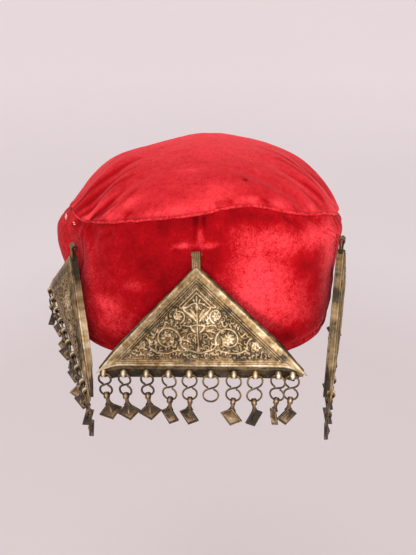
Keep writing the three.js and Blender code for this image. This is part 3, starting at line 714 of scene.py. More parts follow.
def silver_finish():
    """Chased low silver: dark in the ground, tan where handled, bright on rubbed edges."""
    settings = bpy.context.scene.kasaba_metal
    f = Finish("chased silver")
    stains = f.spread(f.noise(120, 4, 0.62), 0.7)
    grit = f.spread(f.noise(1400, 3, 0.6), 0.3)
    scuffs = f.spread(f.noise(430, 4, 0.65), 0.56)
    worn = f.maths("ADD", f.maths("ADD", f.reads("worn"), stains), f.maths("ADD", grit, scuffs))
    recess, silver, bright = settings.recess, settings.silver, settings.worn
    colour = f.ramp(f.maths("MULTIPLY", worn, 0.8), (
        (0.04, recess), (0.256, blended(recess, silver, 0.6)), (0.48, silver),
        (0.656, blended(silver, bright, 0.5)), (0.8, bright), (1.0, (0.76, 0.7, 0.6))))
    clouds = f.maths("MULTIPLY_ADD", f.noise(170, 3, 0.6), 2.6, -1.1)
    share = f.maths("MINIMUM", f.maths("MAXIMUM", clouds, 0.0), 0.55)
    tarnish = {"Fac": share, "Color1": colour, "Color2": (0.36, 0.26, 0.1, 1)}
    colour = f.node("ShaderNodeMixRGB", tarnish, blend_type="SOFT_LIGHT").outputs["Color"]
    rough = f.maths("MULTIPLY_ADD", f.noise(340, 3, 0.6), 0.35, 0.42)
    scratches = f.bump(f.noise(700, 4, 0.7, (1, 1, 0.25)), 0.0002, 0.4)
    return f.set(Base_Color=colour, Metallic=0.82, Roughness=rough, Normal=scratches)


def patina_finish():
    """Hooks and drops: dark brown patina that is rubbed to amber on what stands out, and painted amber on
    the squares' lower halves as a painted highlight.
    """
    settings = bpy.context.scene.kasaba_metal
    f = Finish("dark patina")
    stains = f.spread(f.noise(330, 4, 0.65), 0.8)
    worn = f.maths("ADD", f.reads("worn"), stains)
    dark, silver, bright = settings.patina, settings.silver, settings.worn
    colour = f.ramp(worn, (
        (0.0, blended(dark, BLACK, 0.5)), (0.35, dark), (0.62, settings.amber),
        (0.95, blended(silver, bright, 0.8))))
    rough = f.maths("MULTIPLY_ADD", f.noise(500, 3, 0.6), 0.3, 0.28)
    pitting = f.bump(f.noise(1500, 3, 0.65), 0.0003, 0.4)
    return f.set(Base_Color=colour, Metallic=0.75, Roughness=rough, Normal=pitting)


def thread_finish(name, colour):
    """Twisted sewing thread: a fine slanting ridge and small changes of shade."""
    f = Finish(name)
    shade = f.ramp(f.noise(1800, 2), ((0.3, blended(colour, BLACK, 0.35)), (0.7, colour)))
    twist = f.bump(f.noise(3000, 2, 0.5, (1, 1, 3)), 0.0002, 0.5)
    return f.set(Base_Color=shade, Roughness=0.8, Normal=twist)


# ---------------------------------------------------------------- velvet
def wrapped(turn):
    """A turn past the back of the cap as the same turn from -180 to 180."""
    return np.where(np.asarray(turn) > 180, np.asarray(turn) - 360, turn)


def seam_height(turn):
    """Height of the seam under the crown's edge: a smooth curve through the seam's table."""
    return through(SEAM, "turn", "height", wrapped(turn))


def plan_radius(turn, level):
    """Radius of a superellipse at a turn, from its half width and half depth on that side."""
    turn = wrapped(turn)
    across, along = np.abs(np.sin(np.radians(turn))), np.cos(np.radians(turn))
    left, right, front, back, power = (
        through(BAND, "level", column, level) for column in ("left", "right", "front", "back", "square"))
    side = np.where(turn < 0, left, right)
    depth = np.where(along > 0, front, back)
    return ((across / side) ** power + (np.abs(along) / depth) ** power) ** (-1 / power)


def round_cap(radius, turn, height):
    """Points at a radius and a turn round the plumb line."""
    angle = np.radians(turn)
    return np.stack(np.broadcast_arrays(radius * np.sin(angle), -radius * np.cos(angle), height), -1)


def band_lines(folds):
    """Creases of a band with their turns and levels changed to millimetres on the cloth."""
    scale = np.array([MM_PER_DEGREE, BAND_HEIGHT, MM_PER_DEGREE, BAND_HEIGHT, 1, 1])
    return folds * scale


def band_skin(turn, level, inset=0.0, fine=True):
    """Skin of the bands: the plan's radius less its creases, at a share of the seam's height.

    The fine skin has a soft wave, gathers under the seam, a top that is turned in, and a hem
    that is rolled at the rim and drawn in along its stitches.
    """
    folds_at = wrapped(turn) * MM_PER_DEGREE
    up = level * BAND_HEIGHT
    depth = crease_depth(band_lines(BAND_FOLDS), folds_at, up)
    height = seam_height(turn) * level
    if fine:
        along = np.asarray(turn) * MM_PER_DEGREE
        depth = depth + crease_depth(band_lines(BAND_WRINKLES), along, up)
        depth = depth - 0.7 * soft_noise(along, up, 21, 3) - 0.25 * soft_noise(along, up, 7, 4)
        under = seam_height(turn) - height
        gathers = soft_noise(along, up * 0.2, 4.6, 5) * bell(under, 4, 6)
        turned_in = 0.7 * np.clip(1 - under / 1.4, 0, 1) ** 2
        hem = 0.35 * np.clip((HEM_STITCH + 1 - height) / 2, 0, 1)
        groove = 0.75 * bell(height, HEM_STITCH, 0.7)
        rolled = 1.2 * np.clip(1 - height / 1.2, 0, 1) ** 2
        depth = depth + 0.45 * gathers + turned_in - hem + groove + rolled
    return round_cap(plan_radius(turn, level) - depth - inset, turn, height)


def velvet_band(name, first, last, grid, material, wall):
    """One band as a closed shell between its fine skin and its plain one, moved in by the wall.

    The rows lie closer together at the rim and the seam, and the two ends are drawn in at
    the corners' seams.
    """
    columns, rows = grid
    turn = np.linspace(first - END_LAP, last + END_LAP, columns)[:, None]
    level = (1 - np.cos(np.linspace(0, np.pi, rows))) / 2
    level = (0.4 * level + 0.6 * np.linspace(0, 1, rows))[None, :]
    turn, level = np.broadcast_arrays(turn, level)
    outer = band_skin(turn, level)
    ends = np.minimum(turn - first, last - turn)[..., None]
    radial = round_cap(1.0, turn, 0.0)
    outer = outer - radial * 1.1 * np.clip(1 - ends / 1.1, 0, 1) ** 2
    inner = band_skin(turn, level, wall, fine=False) - radial * 0.8
    points, faces = closed_shell(outer, inner)
    wrinkles = crease_depth(band_lines(BAND_WRINKLES), turn * MM_PER_DEGREE, level * BAND_HEIGHT)
    # The wrinkles are painted darker, as painted shade in the creases.
    pile_and_painted_light = patches(BAND_PILE_AND_LIGHT, turn, level) + 0.15 * soft_noise(turn, level * 50, 6, 8) - 0.45 * wrinkles
    return new_piece(name, points, faces, "cap", material, [("pile_and_painted_light", np.tile(pile_and_painted_light.ravel(), 2))])


def edge_wave(turn):
    """How the crown's rolled edge swings in and out round the seam, from -1 to 1."""
    return noise_along(np.asarray(turn) * MM_PER_DEGREE, EDGE_WAVE, 15)


def crown_skin(turn, way, inset=0.0, fine=True):
    """Skin of the crown: the dome's section round the seam, less creases, with a rolled edge."""
    seam = seam_height(turn) + GAP
    reach, share = through(DOME, "way", "reach", way), through(DOME, "way", "rise", way)
    radius = (plan_radius(turn, 1.0) - inset) * reach
    place = round_cap(radius, turn, 0.0)
    x, y = place[..., 0], place[..., 1]
    rise = (CROWN_TOP - inset - seam) * share
    crease = crease_depth(CROWN_FOLDS, x, y) - patches(CROWN_LIFTS, x, y)
    if fine:
        crease = crease + crease_depth(CROWN_WRINKLES, x, y)
        crease = crease - 0.8 * soft_noise(x, y, 24, 13) - 0.25 * soft_noise(x, y, 8, 14)
    height = seam + rise + (CROWN_TILT * x - crease) * np.minimum(1, 3 * share)
    if fine:
        puff = bell(way, 0.035, 0.03) * (0.8 + 0.7 * edge_wave(turn))
        radius = radius + puff
        height = height + 0.25 * puff
    return round_cap(radius, turn, height)


def velvet_crown(material, wall):
    """The crown as a closed shell, with its edge rolled under so that it covers the seam."""
    columns, rows = CROWN_GRID
    turn = np.linspace(-180, 180, columns, endpoint=False)[:, None]
    way = (np.linspace(0, 1, rows)[None, :-1]) ** 1.25
    turn_grid, way_grid = np.broadcast_arrays(turn, way)
    edge, seam = plan_radius(turn, 1.0), seam_height(turn) + GAP
    out, over = np.array(CROWN_ROLL).T
    rolled = round_cap(edge + out + 0.8 * edge_wave(turn), turn, seam + over)
    outer = np.concatenate([rolled, crown_skin(turn_grid, way_grid)], 1)
    under = crown_skin(turn_grid, way_grid, wall, fine=False)
    lift = np.linspace(0, 1, len(out), endpoint=False)[None, :, None]
    inside = round_cap(edge - wall - 0.4, turn, seam) * (1 - lift) + under[:, :1] * lift
    inner = np.concatenate([inside, under], 1)
    points, faces = closed_shell(outer, inner, wraps=True)
    # The walls between the two last rings go, and each ring is drawn together to the middle.
    count = outer.shape[0] * outer.shape[1]
    last = np.arange(columns) * outer.shape[1] + outer.shape[1] - 1
    between = np.isin(faces, last).sum(1) + np.isin(faces, last + count).sum(1)
    after, middle = np.roll(last, -1), len(points)
    tops = [fan(last, after, middle), fan(after + count, last + count, middle + 1)]
    faces = np.concatenate([faces[between < 4], *tops])
    points = np.concatenate([points, [[0, 0, CROWN_TOP], [0, 0, CROWN_TOP - wall]]])
    pile_and_painted_light = crown_pile_and_light(points[:, 0], points[:, 1])
    return new_piece("velvet_crown", points, faces, "cap", material, [("pile_and_painted_light", pile_and_painted_light)])


def crown_pile_and_light(x, y):
    """Pile and painted light of the crown: its patches, painted shade in its creases, and a
    fuzzy painted sheen highlight along its front edge.
    """
    turn = np.degrees(np.arctan2(x, -y))
    along = turn * MM_PER_DEGREE + NOISE_SHIFT
    out = np.hypot(x, y) / plan_radius(turn, 1.0)
    front_edge = bell(out, 1.0, 0.022) * np.clip(np.cos(np.radians(turn)), 0, 1)
    fuzz = 0.4 + noise_along(along, 7, 16) + 0.6 * soft_noise(along, y, 2.2, 20)
    # The creases are painted darker, as painted shade.
    pile_and_painted_light = CROWN_NAP_BASE + patches(CROWN_PILE_AND_LIGHT, x, y) - 0.7 * crease_depth(CROWN_WRINKLES, x, y)
    return pile_and_painted_light + front_edge * fuzz


def seam_pile(material):
    """The raw pile that stands out along the crown's front edge: a rope of uneven thickness."""
    turn = np.linspace(LEFT_CORNER - 14, RIGHT_CORNER + 12, 1500)
    along = turn * MM_PER_DEGREE + NOISE_SHIFT
    lumps = noise_along(along, 0.75, 17) + 0.6 * noise_along(along, 3.7, 18)
    reach = plan_radius(turn, 1.0) + 0.5 + 0.8 * edge_wave(turn) + 0.1 * lumps
    height = seam_height(turn) + GAP - 0.1 + 0.25 * noise_along(along, 1.7, 19)
    radius = np.clip(0.8 + 0.11 * lumps, 0.3, 1.2)
    sides = 7
    points, faces = tube(round_cap(reach, turn, height), radius, sides, (0, 0, 1))
    # The rope is painted bright as a painted sheen highlight, brighter where it is thicker.
    pile_and_painted_light = np.repeat(0.9 + 0.4 * lumps, sides)
    pile_and_painted_light = np.concatenate([pile_and_painted_light, pile_and_painted_light[[0, -1]]])
    return new_piece("seam_pile", points, faces, "cap", material, [("pile_and_painted_light", pile_and_painted_light)])


def stitches(name, centre, ahead, out, size, material):
    """Small spindles of thread: each point of a short round spindle, moved to every place."""
    half_length, radius = size
    along = np.linspace(-1, 1, 7)[:, None, None]
    around = np.linspace(0, 2 * np.pi, 6, endpoint=False)[None, :, None]
    fat = np.sqrt(np.clip(1 - along**2, 0.02, 1))
    ahead, out = ahead[:, None, None], out[:, None, None]
    ring = (fat * radius) * (np.cos(around) * np.cross(ahead, out) + np.sin(around) * out)
    points = centre[:, None, None] + ahead * along * half_length + ring
    count, steps, sides = points.shape[:3]
    numbers = np.arange(count * steps * sides).reshape(count, steps, sides)
    after = np.roll(numbers, -1, 2)
    walls = np.stack([numbers[:, :-1], after[:, :-1], after[:, 1:], numbers[:, 1:]], -1).reshape(-1, 4)
    ends = np.concatenate([numbers[:, 0, ::-1], numbers[:, -1]])
    fans = np.concatenate([ends[:, [0, 1, 2, 3]], ends[:, [0, 3, 4, 5]]])
    return new_piece(name, points.reshape(-1, 3), np.concatenate([walls, fans]), "cap", material)


def hem_stitches(material):
    """A running stitch round the rim, one stitch in every step, sunk in the hem's groove."""
    count = int(2 * np.pi * RIM_RADIUS / STITCH_STEP)
    turn = np.linspace(-180, 180, count, endpoint=False)
    level = HEM_STITCH / seam_height(turn)
    centre = band_skin(turn, level)
    before, after = band_skin(turn - 0.5, level), band_skin(turn + 0.5, level)
    ahead = after - before
    ahead /= np.linalg.norm(ahead, axis=-1, keepdims=True)
    out = np.cross(ahead, (0, 0, 1))
    return stitches("hem_stitches", centre + out * 0.12, ahead, out, HEM_THREAD, material)


def corner_stitches(material):
    """The few pale stitches that show where the left corner was drawn together."""
    turn, level, slant = SEWN_CORNER.T
    radial = round_cap(1.0, turn, 0.0)
    aside = round_cap(1.0, turn + 90, 0.0)
    angle = np.radians(slant)[:, None]
    ahead = aside * np.cos(angle) + np.array([0, 0, 1.0]) * np.sin(angle)
    centre = band_skin(turn, level) + radial * 1.1
    return stitches("corner_stitches", centre, ahead, radial, CORNER_THREAD, material)


# ---------------------------------------------------------------- silver
def hinge_place(name):
    """The middle of a bail's hole, in mm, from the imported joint."""
    joint = next(j for j in frame["joints"] if j["child"] == f"{name}_amulet")
    return np.array(joint["pos_m"]) / MM


def hung(name, points):
    """Points of a triangle's own axes at the place and turn in which it hangs."""
    way = AMULETS[name]
    matrix = turned(way["yaw"], "z") @ turned(-way["lean"], "x") @ turned(-way["roll"], "y")
    return points @ matrix.T + hinge_place(name)


def loop_middles():
    """Middles of the ten loops in a row under a case, in the triangle's own axes."""
    share = np.array(LOOP_PLACES)
    x = (2 * share - 1) * HALF_BASE
    y = np.full_like(x, LOOP_BACK - CASE_DEPTH / 2)
    return np.stack([x, y, np.full_like(x, -APEX_DROP - CASE_HEIGHT - LOOP_DROP)], -1)


def spiral(x, z, radius, turns, start, way, width):
    """A scroll: a circle's point whose radius shrinks to a fifth as it goes round."""
    step = np.linspace(0, 1, int(radius * turns * 40) + 8)
    reach = radius * (1 - 0.8 * step**1.2)
    angle = np.radians(start) + way * 2 * np.pi * turns * step
    return np.stack([x + reach * np.cos(angle), z + reach * np.sin(angle), width * (1 - 0.45 * step)], -1)


def leaves(x, z, angle, length, bend, width):
    """Curved leaves: each runs from a point at an angle that changes by `bend` on the way."""
    columns = map(np.atleast_1d, (x, z, angle, length, bend, width))
    x, z, angle, length, bend, width = np.broadcast_arrays(*columns)
    step = np.linspace(0, 1, 26)
    way = np.radians(angle[:, None] + bend[:, None] * step)
    px = x[:, None] + length[:, None] * step * np.cos(way)
    pz = z[:, None] + length[:, None] * step * np.sin(way)
    wide = width[:, None] * np.sin(np.pi * np.clip(step * 0.92 + 0.08, 0, 1)) ** 0.7 + 0.12
    return np.stack([px, pz, wide], -1).reshape(-1, 3)


def rosette(x, z, radius, petals, start=0.0):
    """A flower: leaves set round a middle, with a round boss."""
    angle = start + np.arange(petals) * 360 / petals
    a = np.radians(angle)
    foot = 0.38 * radius
    petal = leaves(x + foot * np.cos(a), z + foot * np.sin(a), angle, 0.62 * radius, 0, 0.25 * radius)
    return np.concatenate([petal, [[x, z, 0.26 * radius]]])


def curve(points, width):
    """A stem along a smooth curve through a few points, thinner towards its end."""
    points = np.array(points, float)
    table = {"at": np.arange(len(points)), "x": points[:, 0], "z": points[:, 1]}
    step = np.linspace(0, len(points) - 1, 24 * len(points))
    px, pz = through(table, "at", "x", step), through(table, "at", "z", step)
    return np.stack([px, pz, width * (1 - 0.35 * step / step[-1])], -1)


def scroll_half():
    """One half of the generic floral ornament, x over 0: scrolls with flowers and leaves."""
    strokes = [
        curve([(0.6, 8.6), (4, 9.6), (8.5, 11.5), (10.2, 15)], 0.75),
        spiral(16.8, 16.6, 7.4, 1.35, -160, -1, 0.72),
        rosette(16.8, 16.6, 3.7, 7, 12),
        curve([(12, 10), (18, 8.4), (24, 8.8), (27.2, 11.5)], 0.6),
        spiral(32, 13.6, 5.0, 1.3, -155, -1, 0.62),
        rosette(32, 13.6, 2.6, 6, 20),
        curve([(22.6, 21), (24.5, 18), (27, 17.8)], 0.5),
        spiral(10.4, 30.2, 4.0, 1.2, -110, -1, 0.6),
        rosette(10.4, 30.2, 2.4, 6, 0),
        curve([(0.6, 25), (4, 24.4), (8, 25.2)], 0.6),
        spiral(20.2, 27.0, 2.5, 1.2, -60, 1, 0.5),
        curve([(0.8, 37.2), (3.2, 36.6), (6.2, 34.8), (8.6, 35.2)], 0.55),
        spiral(4.6, 11.8, 1.7, 1.2, 200, -1, 0.45),
        spiral(4.2, 18.4, 1.9, 1.2, 120, -1, 0.45),
        spiral(26.4, 22.6, 1.6, 1.1, 150, 1, 0.42),
        leaves([1.0, 1.0, 1.2], [27.2, 29.6, 20.8], [58, 64, 30], [8.2, 5.6, 5.2],
               [-12, -8, 30], [1.05, 0.8, 0.75]),
        leaves([38.2, 40.5, 42.6, 37], [9.4, 9.0, 8.6, 12.4], [62, 44, 26, 120], [5.6, 5.0, 3.4, 3.0],
               [-10, -8, -4, 20], [0.7, 0.65, 0.5, 0.5]),
        leaves([9.6, 22.8, 24.2, 14, 20, 27.4, 36.6, 30], [20.6, 13.2, 18.6, 24.6, 9.6, 9.2, 16.2, 19.4],
               [130, -30, 20, 75, 40, 120, 60, 150], [4.2, 3.4, 3.6, 3.4, 2.8, 3.0, 3.2, 3.4],
               [40, -50, 30, 40, -60, 50, 40, -40], [0.6, 0.55, 0.55, 0.55, 0.5, 0.5, 0.5, 0.5]),
        leaves([6, 14.5, 6.4, 2.2], [33, 33.2, 21.6, 40.4], [20, 130, 70, 80],
               [2.8, 2.4, 2.6, 2.6], [40, 30, -40, -30], 0.5),
    ]
    return np.concatenate(strokes)


def drawn(strokes, height_map):
    """Raises a height map to the round top of every stroke that passes near a point."""
    rows, columns = height_map.shape
    reach = int(np.ceil(1.5 / STROKE_NET))
    span = np.arange(-reach, reach + 1)
    x, z, wide = strokes.T
    i = np.round(z / STROKE_NET).astype(int)[:, None, None] + span[:, None]
    j = np.round((x + HALF_BASE) / STROKE_NET).astype(int)[:, None, None] + span[None, :]
    i, j = np.broadcast_arrays(i, j)
    away = np.hypot(i * STROKE_NET - z[:, None, None], j * STROKE_NET - HALF_BASE - x[:, None, None])
    height = np.sqrt(np.clip(1 - (away / wide[:, None, None]) ** 2, 0, 1))
    inside = (i >= 0) & (i < rows) & (j >= 0) & (j < columns) & (height > 0)
    np.maximum.at(height_map, (i[inside], j[inside]), height[inside])


def widened(height_map, steps):
    """The highest of each point's neighbours up to some steps away."""
    high = height_map
    for _ in range(steps):
        for axis in (0, 1):
            high = np.maximum(high, np.maximum(np.roll(high, 1, axis), np.roll(high, -1, axis)))
    return high


def edge_distance(x, z):
    """Distance of a point of the face from the nearest of its three edges."""
    slope = (CASE_HEIGHT - z - np.abs(x)) / np.sqrt(2)
    return np.minimum(slope, z)


def ornament():
    """Height map of the chased field, from 0 on its ground to 1 on its strokes.

    The two halves are mirrored, and each drifts a little, as work by hand does.
    """
    rows, columns = int(CASE_HEIGHT / STROKE_NET) + 2, int(2 * HALF_BASE / STROKE_NET) + 2
    height_map = np.zeros((rows, columns))
    half = scroll_half()
    x, z = half[:, 0], half[:, 1]
    for side in (1, -1):
        drift = np.stack([soft_noise(x + 80 * side, z, 9, 31),
                          soft_noise(x, z + 80 * side, 9, 32), 0 * x], -1)
        drawn(half * (side, 1, 1) + 0.45 * drift, height_map)
    stem = np.concatenate([
        curve([(0, 8.4), (0.2, 14), (-0.1, 20), (0, 26)], 0.7),
        curve([(0, 26), (0, 31), (0, 35)], 0.5),
        leaves([0, 0, 0], [33, 38.6, 9], [90, 90, 90], [4.2, 4.4, 3.4], 0, [1.0, 0.7, 1.1]),
        leaves([-1.2, 1.2], [38.4, 38.4], [150, 30], 2.4, [-50, 50], 0.5),
    ])
    drawn(stem, height_map)
    rng = np.random.default_rng(21)
    for spacing, length, wide in FILLERS:
        x, z = np.meshgrid(np.arange(-52, 52, spacing), np.arange(5, 46, spacing))
        x = x.ravel() + rng.uniform(-0.5, 0.5, x.size)
        z = z.ravel() + rng.uniform(-0.5, 0.5, z.size)
        bare = np.ones(x.size, bool)
        for dx, dz in ((0, 0), (1, 0), (-1, 0), (0, 1), (0, -1)):
            i = np.clip(np.round((z + dz * 0.8) / STROKE_NET).astype(int), 0, rows - 1)
            j = np.clip(np.round((x + dx * 0.8 + HALF_BASE) / STROKE_NET).astype(int), 0, columns - 1)
            bare &= height_map[i, j] < 0.05
        bare &= field_depth(x, z) > 0.6
        angle = rng.uniform(0, 360, x.size)
        bend = rng.choice([-110, 110], x.size)
        drawn(leaves(x[bare], z[bare], angle[bare], length, bend[bare], wide), height_map)
    x, z = np.meshgrid(np.arange(columns) * STROKE_NET - HALF_BASE, np.arange(rows) * STROKE_NET)
    height_map[field_depth(x, z) < 0.3] = 0
    inside = edge_distance(x, z) - BORDER
    top = (z > CHEVRON_FOOT) & (inside > 0.8) & (inside < 4.2)
    chevrons = np.maximum(bell(inside, 1.5, 0.42), bell(inside, 3.1, 0.42))
    return np.where(top, chevrons, height_map)


def sampled(height_map, x, z):
    """Height map read between its points, in proportion to how near each is."""
    u, v = (x + HALF_BASE) / STROKE_NET, z / STROKE_NET
    i = np.clip(np.floor(v).astype(int), 0, height_map.shape[0] - 2)
    j = np.clip(np.floor(u).astype(int), 0, height_map.shape[1] - 2)
    p, q = np.clip(u - j, 0, 1), np.clip(v - i, 0, 1)
    low = height_map[i, j] * (1 - p) + height_map[i, j + 1] * p
    high = height_map[i + 1, j] * (1 - p) + height_map[i + 1, j + 1] * p
    return low * (1 - q) + high * q


def field_depth(x, z):
    """How far inside the chased field a point is: the frame is narrower under it than beside it."""
    slope = (CASE_HEIGHT - z - np.abs(x)) / np.sqrt(2)
    return np.minimum(slope - BORDER, z - LOWER_BORDER)


def face_heights(x, z, height_map, outlines, relief, seed, painted_shade):
    """Height of the face over its border's plane, and its tone at points of the face: how worn it is, with
    painted highlights and painted shade.

    The border is flat with engraved lines and a rubbed outer edge. The field lies lower, and
    the ornament stands up in it nearly to the border, each stroke with a dark line round it.
    """
    inside = field_depth(x, z)
    edge = edge_distance(x, z)
    field = np.clip((inside + 0.3) / 0.6, 0, 1)
    stroke = sampled(height_map, x, z) * field
    lines = sum(depth * bell(inside, -at, width) for at, width, depth in FRAME_LINES)
    worn_down = 0.28 * np.clip(1 - edge / 1.0, 0, 1) ** 2
    dents = 0.12 * soft_noise(x, z, 11, seed) + 0.08 * soft_noise(x, z, 2.6, seed + 1)
    punched = 0.07 * soft_noise(x, z, 0.7, seed + 2) * field
    swell = FACE_RISE * (1 - (1 - np.clip(edge / 23.8, 0, 1)) ** 2)
    height = swell - FIELD_SINK * field + relief * stroke - lines - worn_down + dents + punched
    ground = 0.36 + 0.14 * soft_noise(x, z, 0.9, seed + 5)
    tone = np.where(field > 0.5, ground + 0.5 * stroke - 0.3 * sampled(outlines, x, z), 0.57)
    tone = tone - 1.9 * lines + 0.3 * bell(edge, 0.6, 0.6) - 0.35 * np.clip(1 - edge / 0.35, 0, 1)
    specks = 0.2 * soft_noise(x, z, 1.1, seed + 6)
    stains = 0.3 * np.clip(soft_noise(x, z, 3.6, seed + 8), 0, 1)
    tone = tone + 0.22 * (z < LOWER_BORDER) + (1 - field) * (specks - stains)
    clouds = 0.16 * soft_noise(x, z, 8, seed + 3) + 0.14 * soft_noise(x, z, 2.2, seed + 4)
    # Painted highlights are added on the field, and painted shade is taken off the faces seen at a slant.
    return height, tone + patches(FACE_PAINTED_HIGHLIGHTS, x, z) + clouds - painted_shade


def silver_piece(name, part, points, faces, material, worn):
    """A part of a triangle, hung in its place, with how worn each of its points is."""
    return new_piece(f"{name}_{part}", hung(name, points), faces, f"{name}_amulet",
                     material, [("worn", worn)])


def chased_face(name, height_map, outlines, material, relief, seed):
    """The face plate: rows across the triangle with the relief, and a flat back of one face."""
    across = FACE_GRID[name]
    up = across // 2 + 1
    v = np.linspace(0, 1, up)[None, :] * (1 - 0.6 / CASE_HEIGHT)
    u = np.linspace(-1, 1, across)[:, None]
    z = np.broadcast_to(v * CASE_HEIGHT, (across, up))
    x = u * (CASE_HEIGHT - z)
    painted_shade = AMULETS[name]["painted_shade"]
    height, tone = face_heights(x, z, height_map, outlines, relief, seed, painted_shade)
    face = -CASE_DEPTH / 2
    front = np.stack([x, face - height, z - APEX_DROP - CASE_HEIGHT], -1)
    numbers = np.arange(across * up).reshape(across, up)
    rim = np.concatenate([numbers[:-1, 0], numbers[-1, :-1], numbers[:0:-1, -1], numbers[0, :0:-1]])
    back = front.reshape(-1, 3)[rim].copy()
    back[:, 1] = face + 1.0
    behind = across * up + np.arange(len(rim))
    walls = np.stack([rim, behind, np.roll(behind, -1), np.roll(rim, -1)], -1)
    points = np.concatenate([front.reshape(-1, 3), back])
    faces = np.concatenate([quads(across, up), walls]).tolist() + [behind[::-1].tolist()]
    worn = np.concatenate([tone.ravel(), np.full(len(rim), HIDDEN_TONE)])
    return silver_piece(name, "face", with_bent_tips(points), faces, material, worn)


def case_outline(inset, share):
    """Corners of a triangle with blunt tips, drawn in by `inset`, as the solid's own outline.

    From the face to the back plate the two tips are cut off more, and the bottom lies lower.
    """
    top = -APEX_DROP - inset * np.sqrt(2)
    bottom = -APEX_DROP - CASE_HEIGHT + inset
    tip = HALF_BASE - inset * (1 + np.sqrt(2))
    cut = share * (1 - TIP_SHARE) * tip
    foot = tip - TIP_BLUNT - share * TIP_CUT
    level = bottom - BOTTOM_FLARE * share
    return np.array([(-TIP_BLUNT, top - TIP_BLUNT), (cut - tip, bottom + TIP_BLUNT + cut), (-foot, level),
                     (foot, level), (tip - cut, bottom + TIP_BLUNT + cut), (TIP_BLUNT, top - TIP_BLUNT)])


def with_bent_tips(points):
    """A triangle's points with its two lower tips drawn out and bent down, as soft metal is."""
    past = np.clip(np.abs(points[:, 0]) - BENT_FROM, 0, None) ** 2
    return points + np.stack([TIP_PULL * np.sign(points[:, 0]) * past, 0 * past, -TIP_BEND * past], -1)


# Section of the case's wall from the face to the back plate: share of the depth, how far it
# stands out, and how worn it is.
WALL_SECTION = np.array([
    (0.1, -0.7, 0.1), (0.1, -0.2, 0.25), (0.13, 0.1, 0.6), (0.19, 0.2, 0.8), (0.27, 0.12, 0.5),
    (0.36, 0.0, 0.26), (0.5, 0.08, 0.4), (0.64, 0.06, 0.36), (0.76, 0.0, 0.22), (0.84, 0.12, 0.3),
    (0.91, 0.22, 0.5), (0.97, 0.1, 0.5), (1.0, -0.5, 0.3), (1.0, -6.0, 0.3), (1.0, -14.0, 0.3),
])
WALL_STEPS = (70, 14, 90, 14, 70, 6)  # points along each side of the case's outline
# Where a sloping wall is lighter (above 0) or darker (below 0): place on the way down from the
# apex to the bottom, half length and strength.
WALL_TONE_SPOTS = {
    "front": np.array([(0.5, 0.3, -0.1)]),
    "left": np.array([(0.08, 0.12, -0.35), (0.55, 0.26, 0.6), (0.97, 0.1, -0.35)]),
    "right": np.array([(0.15, 0.2, -0.05), (0.47, 0.06, 0.4), (0.8, 0.25, -0.1)]),
}


def wall_tone(name, x, z, seed):
    """Tone of the walls: their section's own wear, lighter and darker patches and blotches.

    The bottom, under the case, is painted dark as painted shade, with one lighter line beside the face.
    """
    share, _, worn = WALL_SECTION.T
    down = (-APEX_DROP - z) / CASE_HEIGHT
    place, half, strength = WALL_TONE_SPOTS[name].T
    tone_spots = (strength * bell(down[..., None], place, half)).sum(-1)
    blotches = 0.18 * soft_noise(x, z, 5, seed + 2) + 0.16 * soft_noise(x, 4 * z, 3, seed + 4)
    # Painted shade on the downward bottom, with one lighter line near the face.
    shaded_bottom = 0.08 + 0.3 * bell(share, 0.16, 0.05) + 0.12 * soft_noise(x, 9 * share, 2.6, seed + 3)
    under = (np.abs(x) < HALF_BASE - 3) & (down > 0.99)
    return np.where(under, shaded_bottom, 0.62 * worn + tone_spots + blotches)


def case_walls(name, material, seed):
    """Walls and back of a case: the outline carried through the wall's section, with dents."""
    share, stand, _ = WALL_SECTION.T
    rings = []
    for depth, out in zip(share, stand):
        corners = case_outline(-out, depth)
        sides = zip(corners, np.roll(corners, -1, 0), WALL_STEPS)
        ring = np.concatenate([
            a + (b - a) * np.linspace(0, 1, steps, endpoint=False)[:, None] for a, b, steps in sides])
        y = np.full(len(ring), (depth - 0.5) * CASE_DEPTH)
        rings.append(np.stack([ring[:, 0], y, ring[:, 1]], -1))
    grid = np.stack(rings, 1)
    x, z = grid[..., 0], grid[..., 2]
    dent = 0.22 * soft_noise(x + z, z, 7, seed) + 0.1 * soft_noise(x, z, 2.3, seed + 1)
    dent = dent * np.where(stand < -0.4, 0.3, 1.0)
    grid = grid + grid_normals(grid, True) * dent[..., None]
    # A middle point closes the back plate, and another the front, which the face hides.
    rows, columns = grid.shape[:2]
    points = np.concatenate([grid.reshape(-1, 3), [grid[:, -1].mean(0), grid[:, 0].mean(0)]])
    first = np.arange(rows) * columns
    last = first + columns - 1
    middle = rows * columns
    faces = np.concatenate([
        quads(rows, columns, wraps=True), fan(last, np.roll(last, -1), middle),
        fan(np.roll(first, -1), first, middle + 1)])
    tone = np.concatenate([wall_tone(name, x, z, seed).ravel(), [HIDDEN_TONE, HIDDEN_TONE]])
    return silver_piece(name, "walls", with_bent_tips(points), faces[:, ::-1], material, tone)


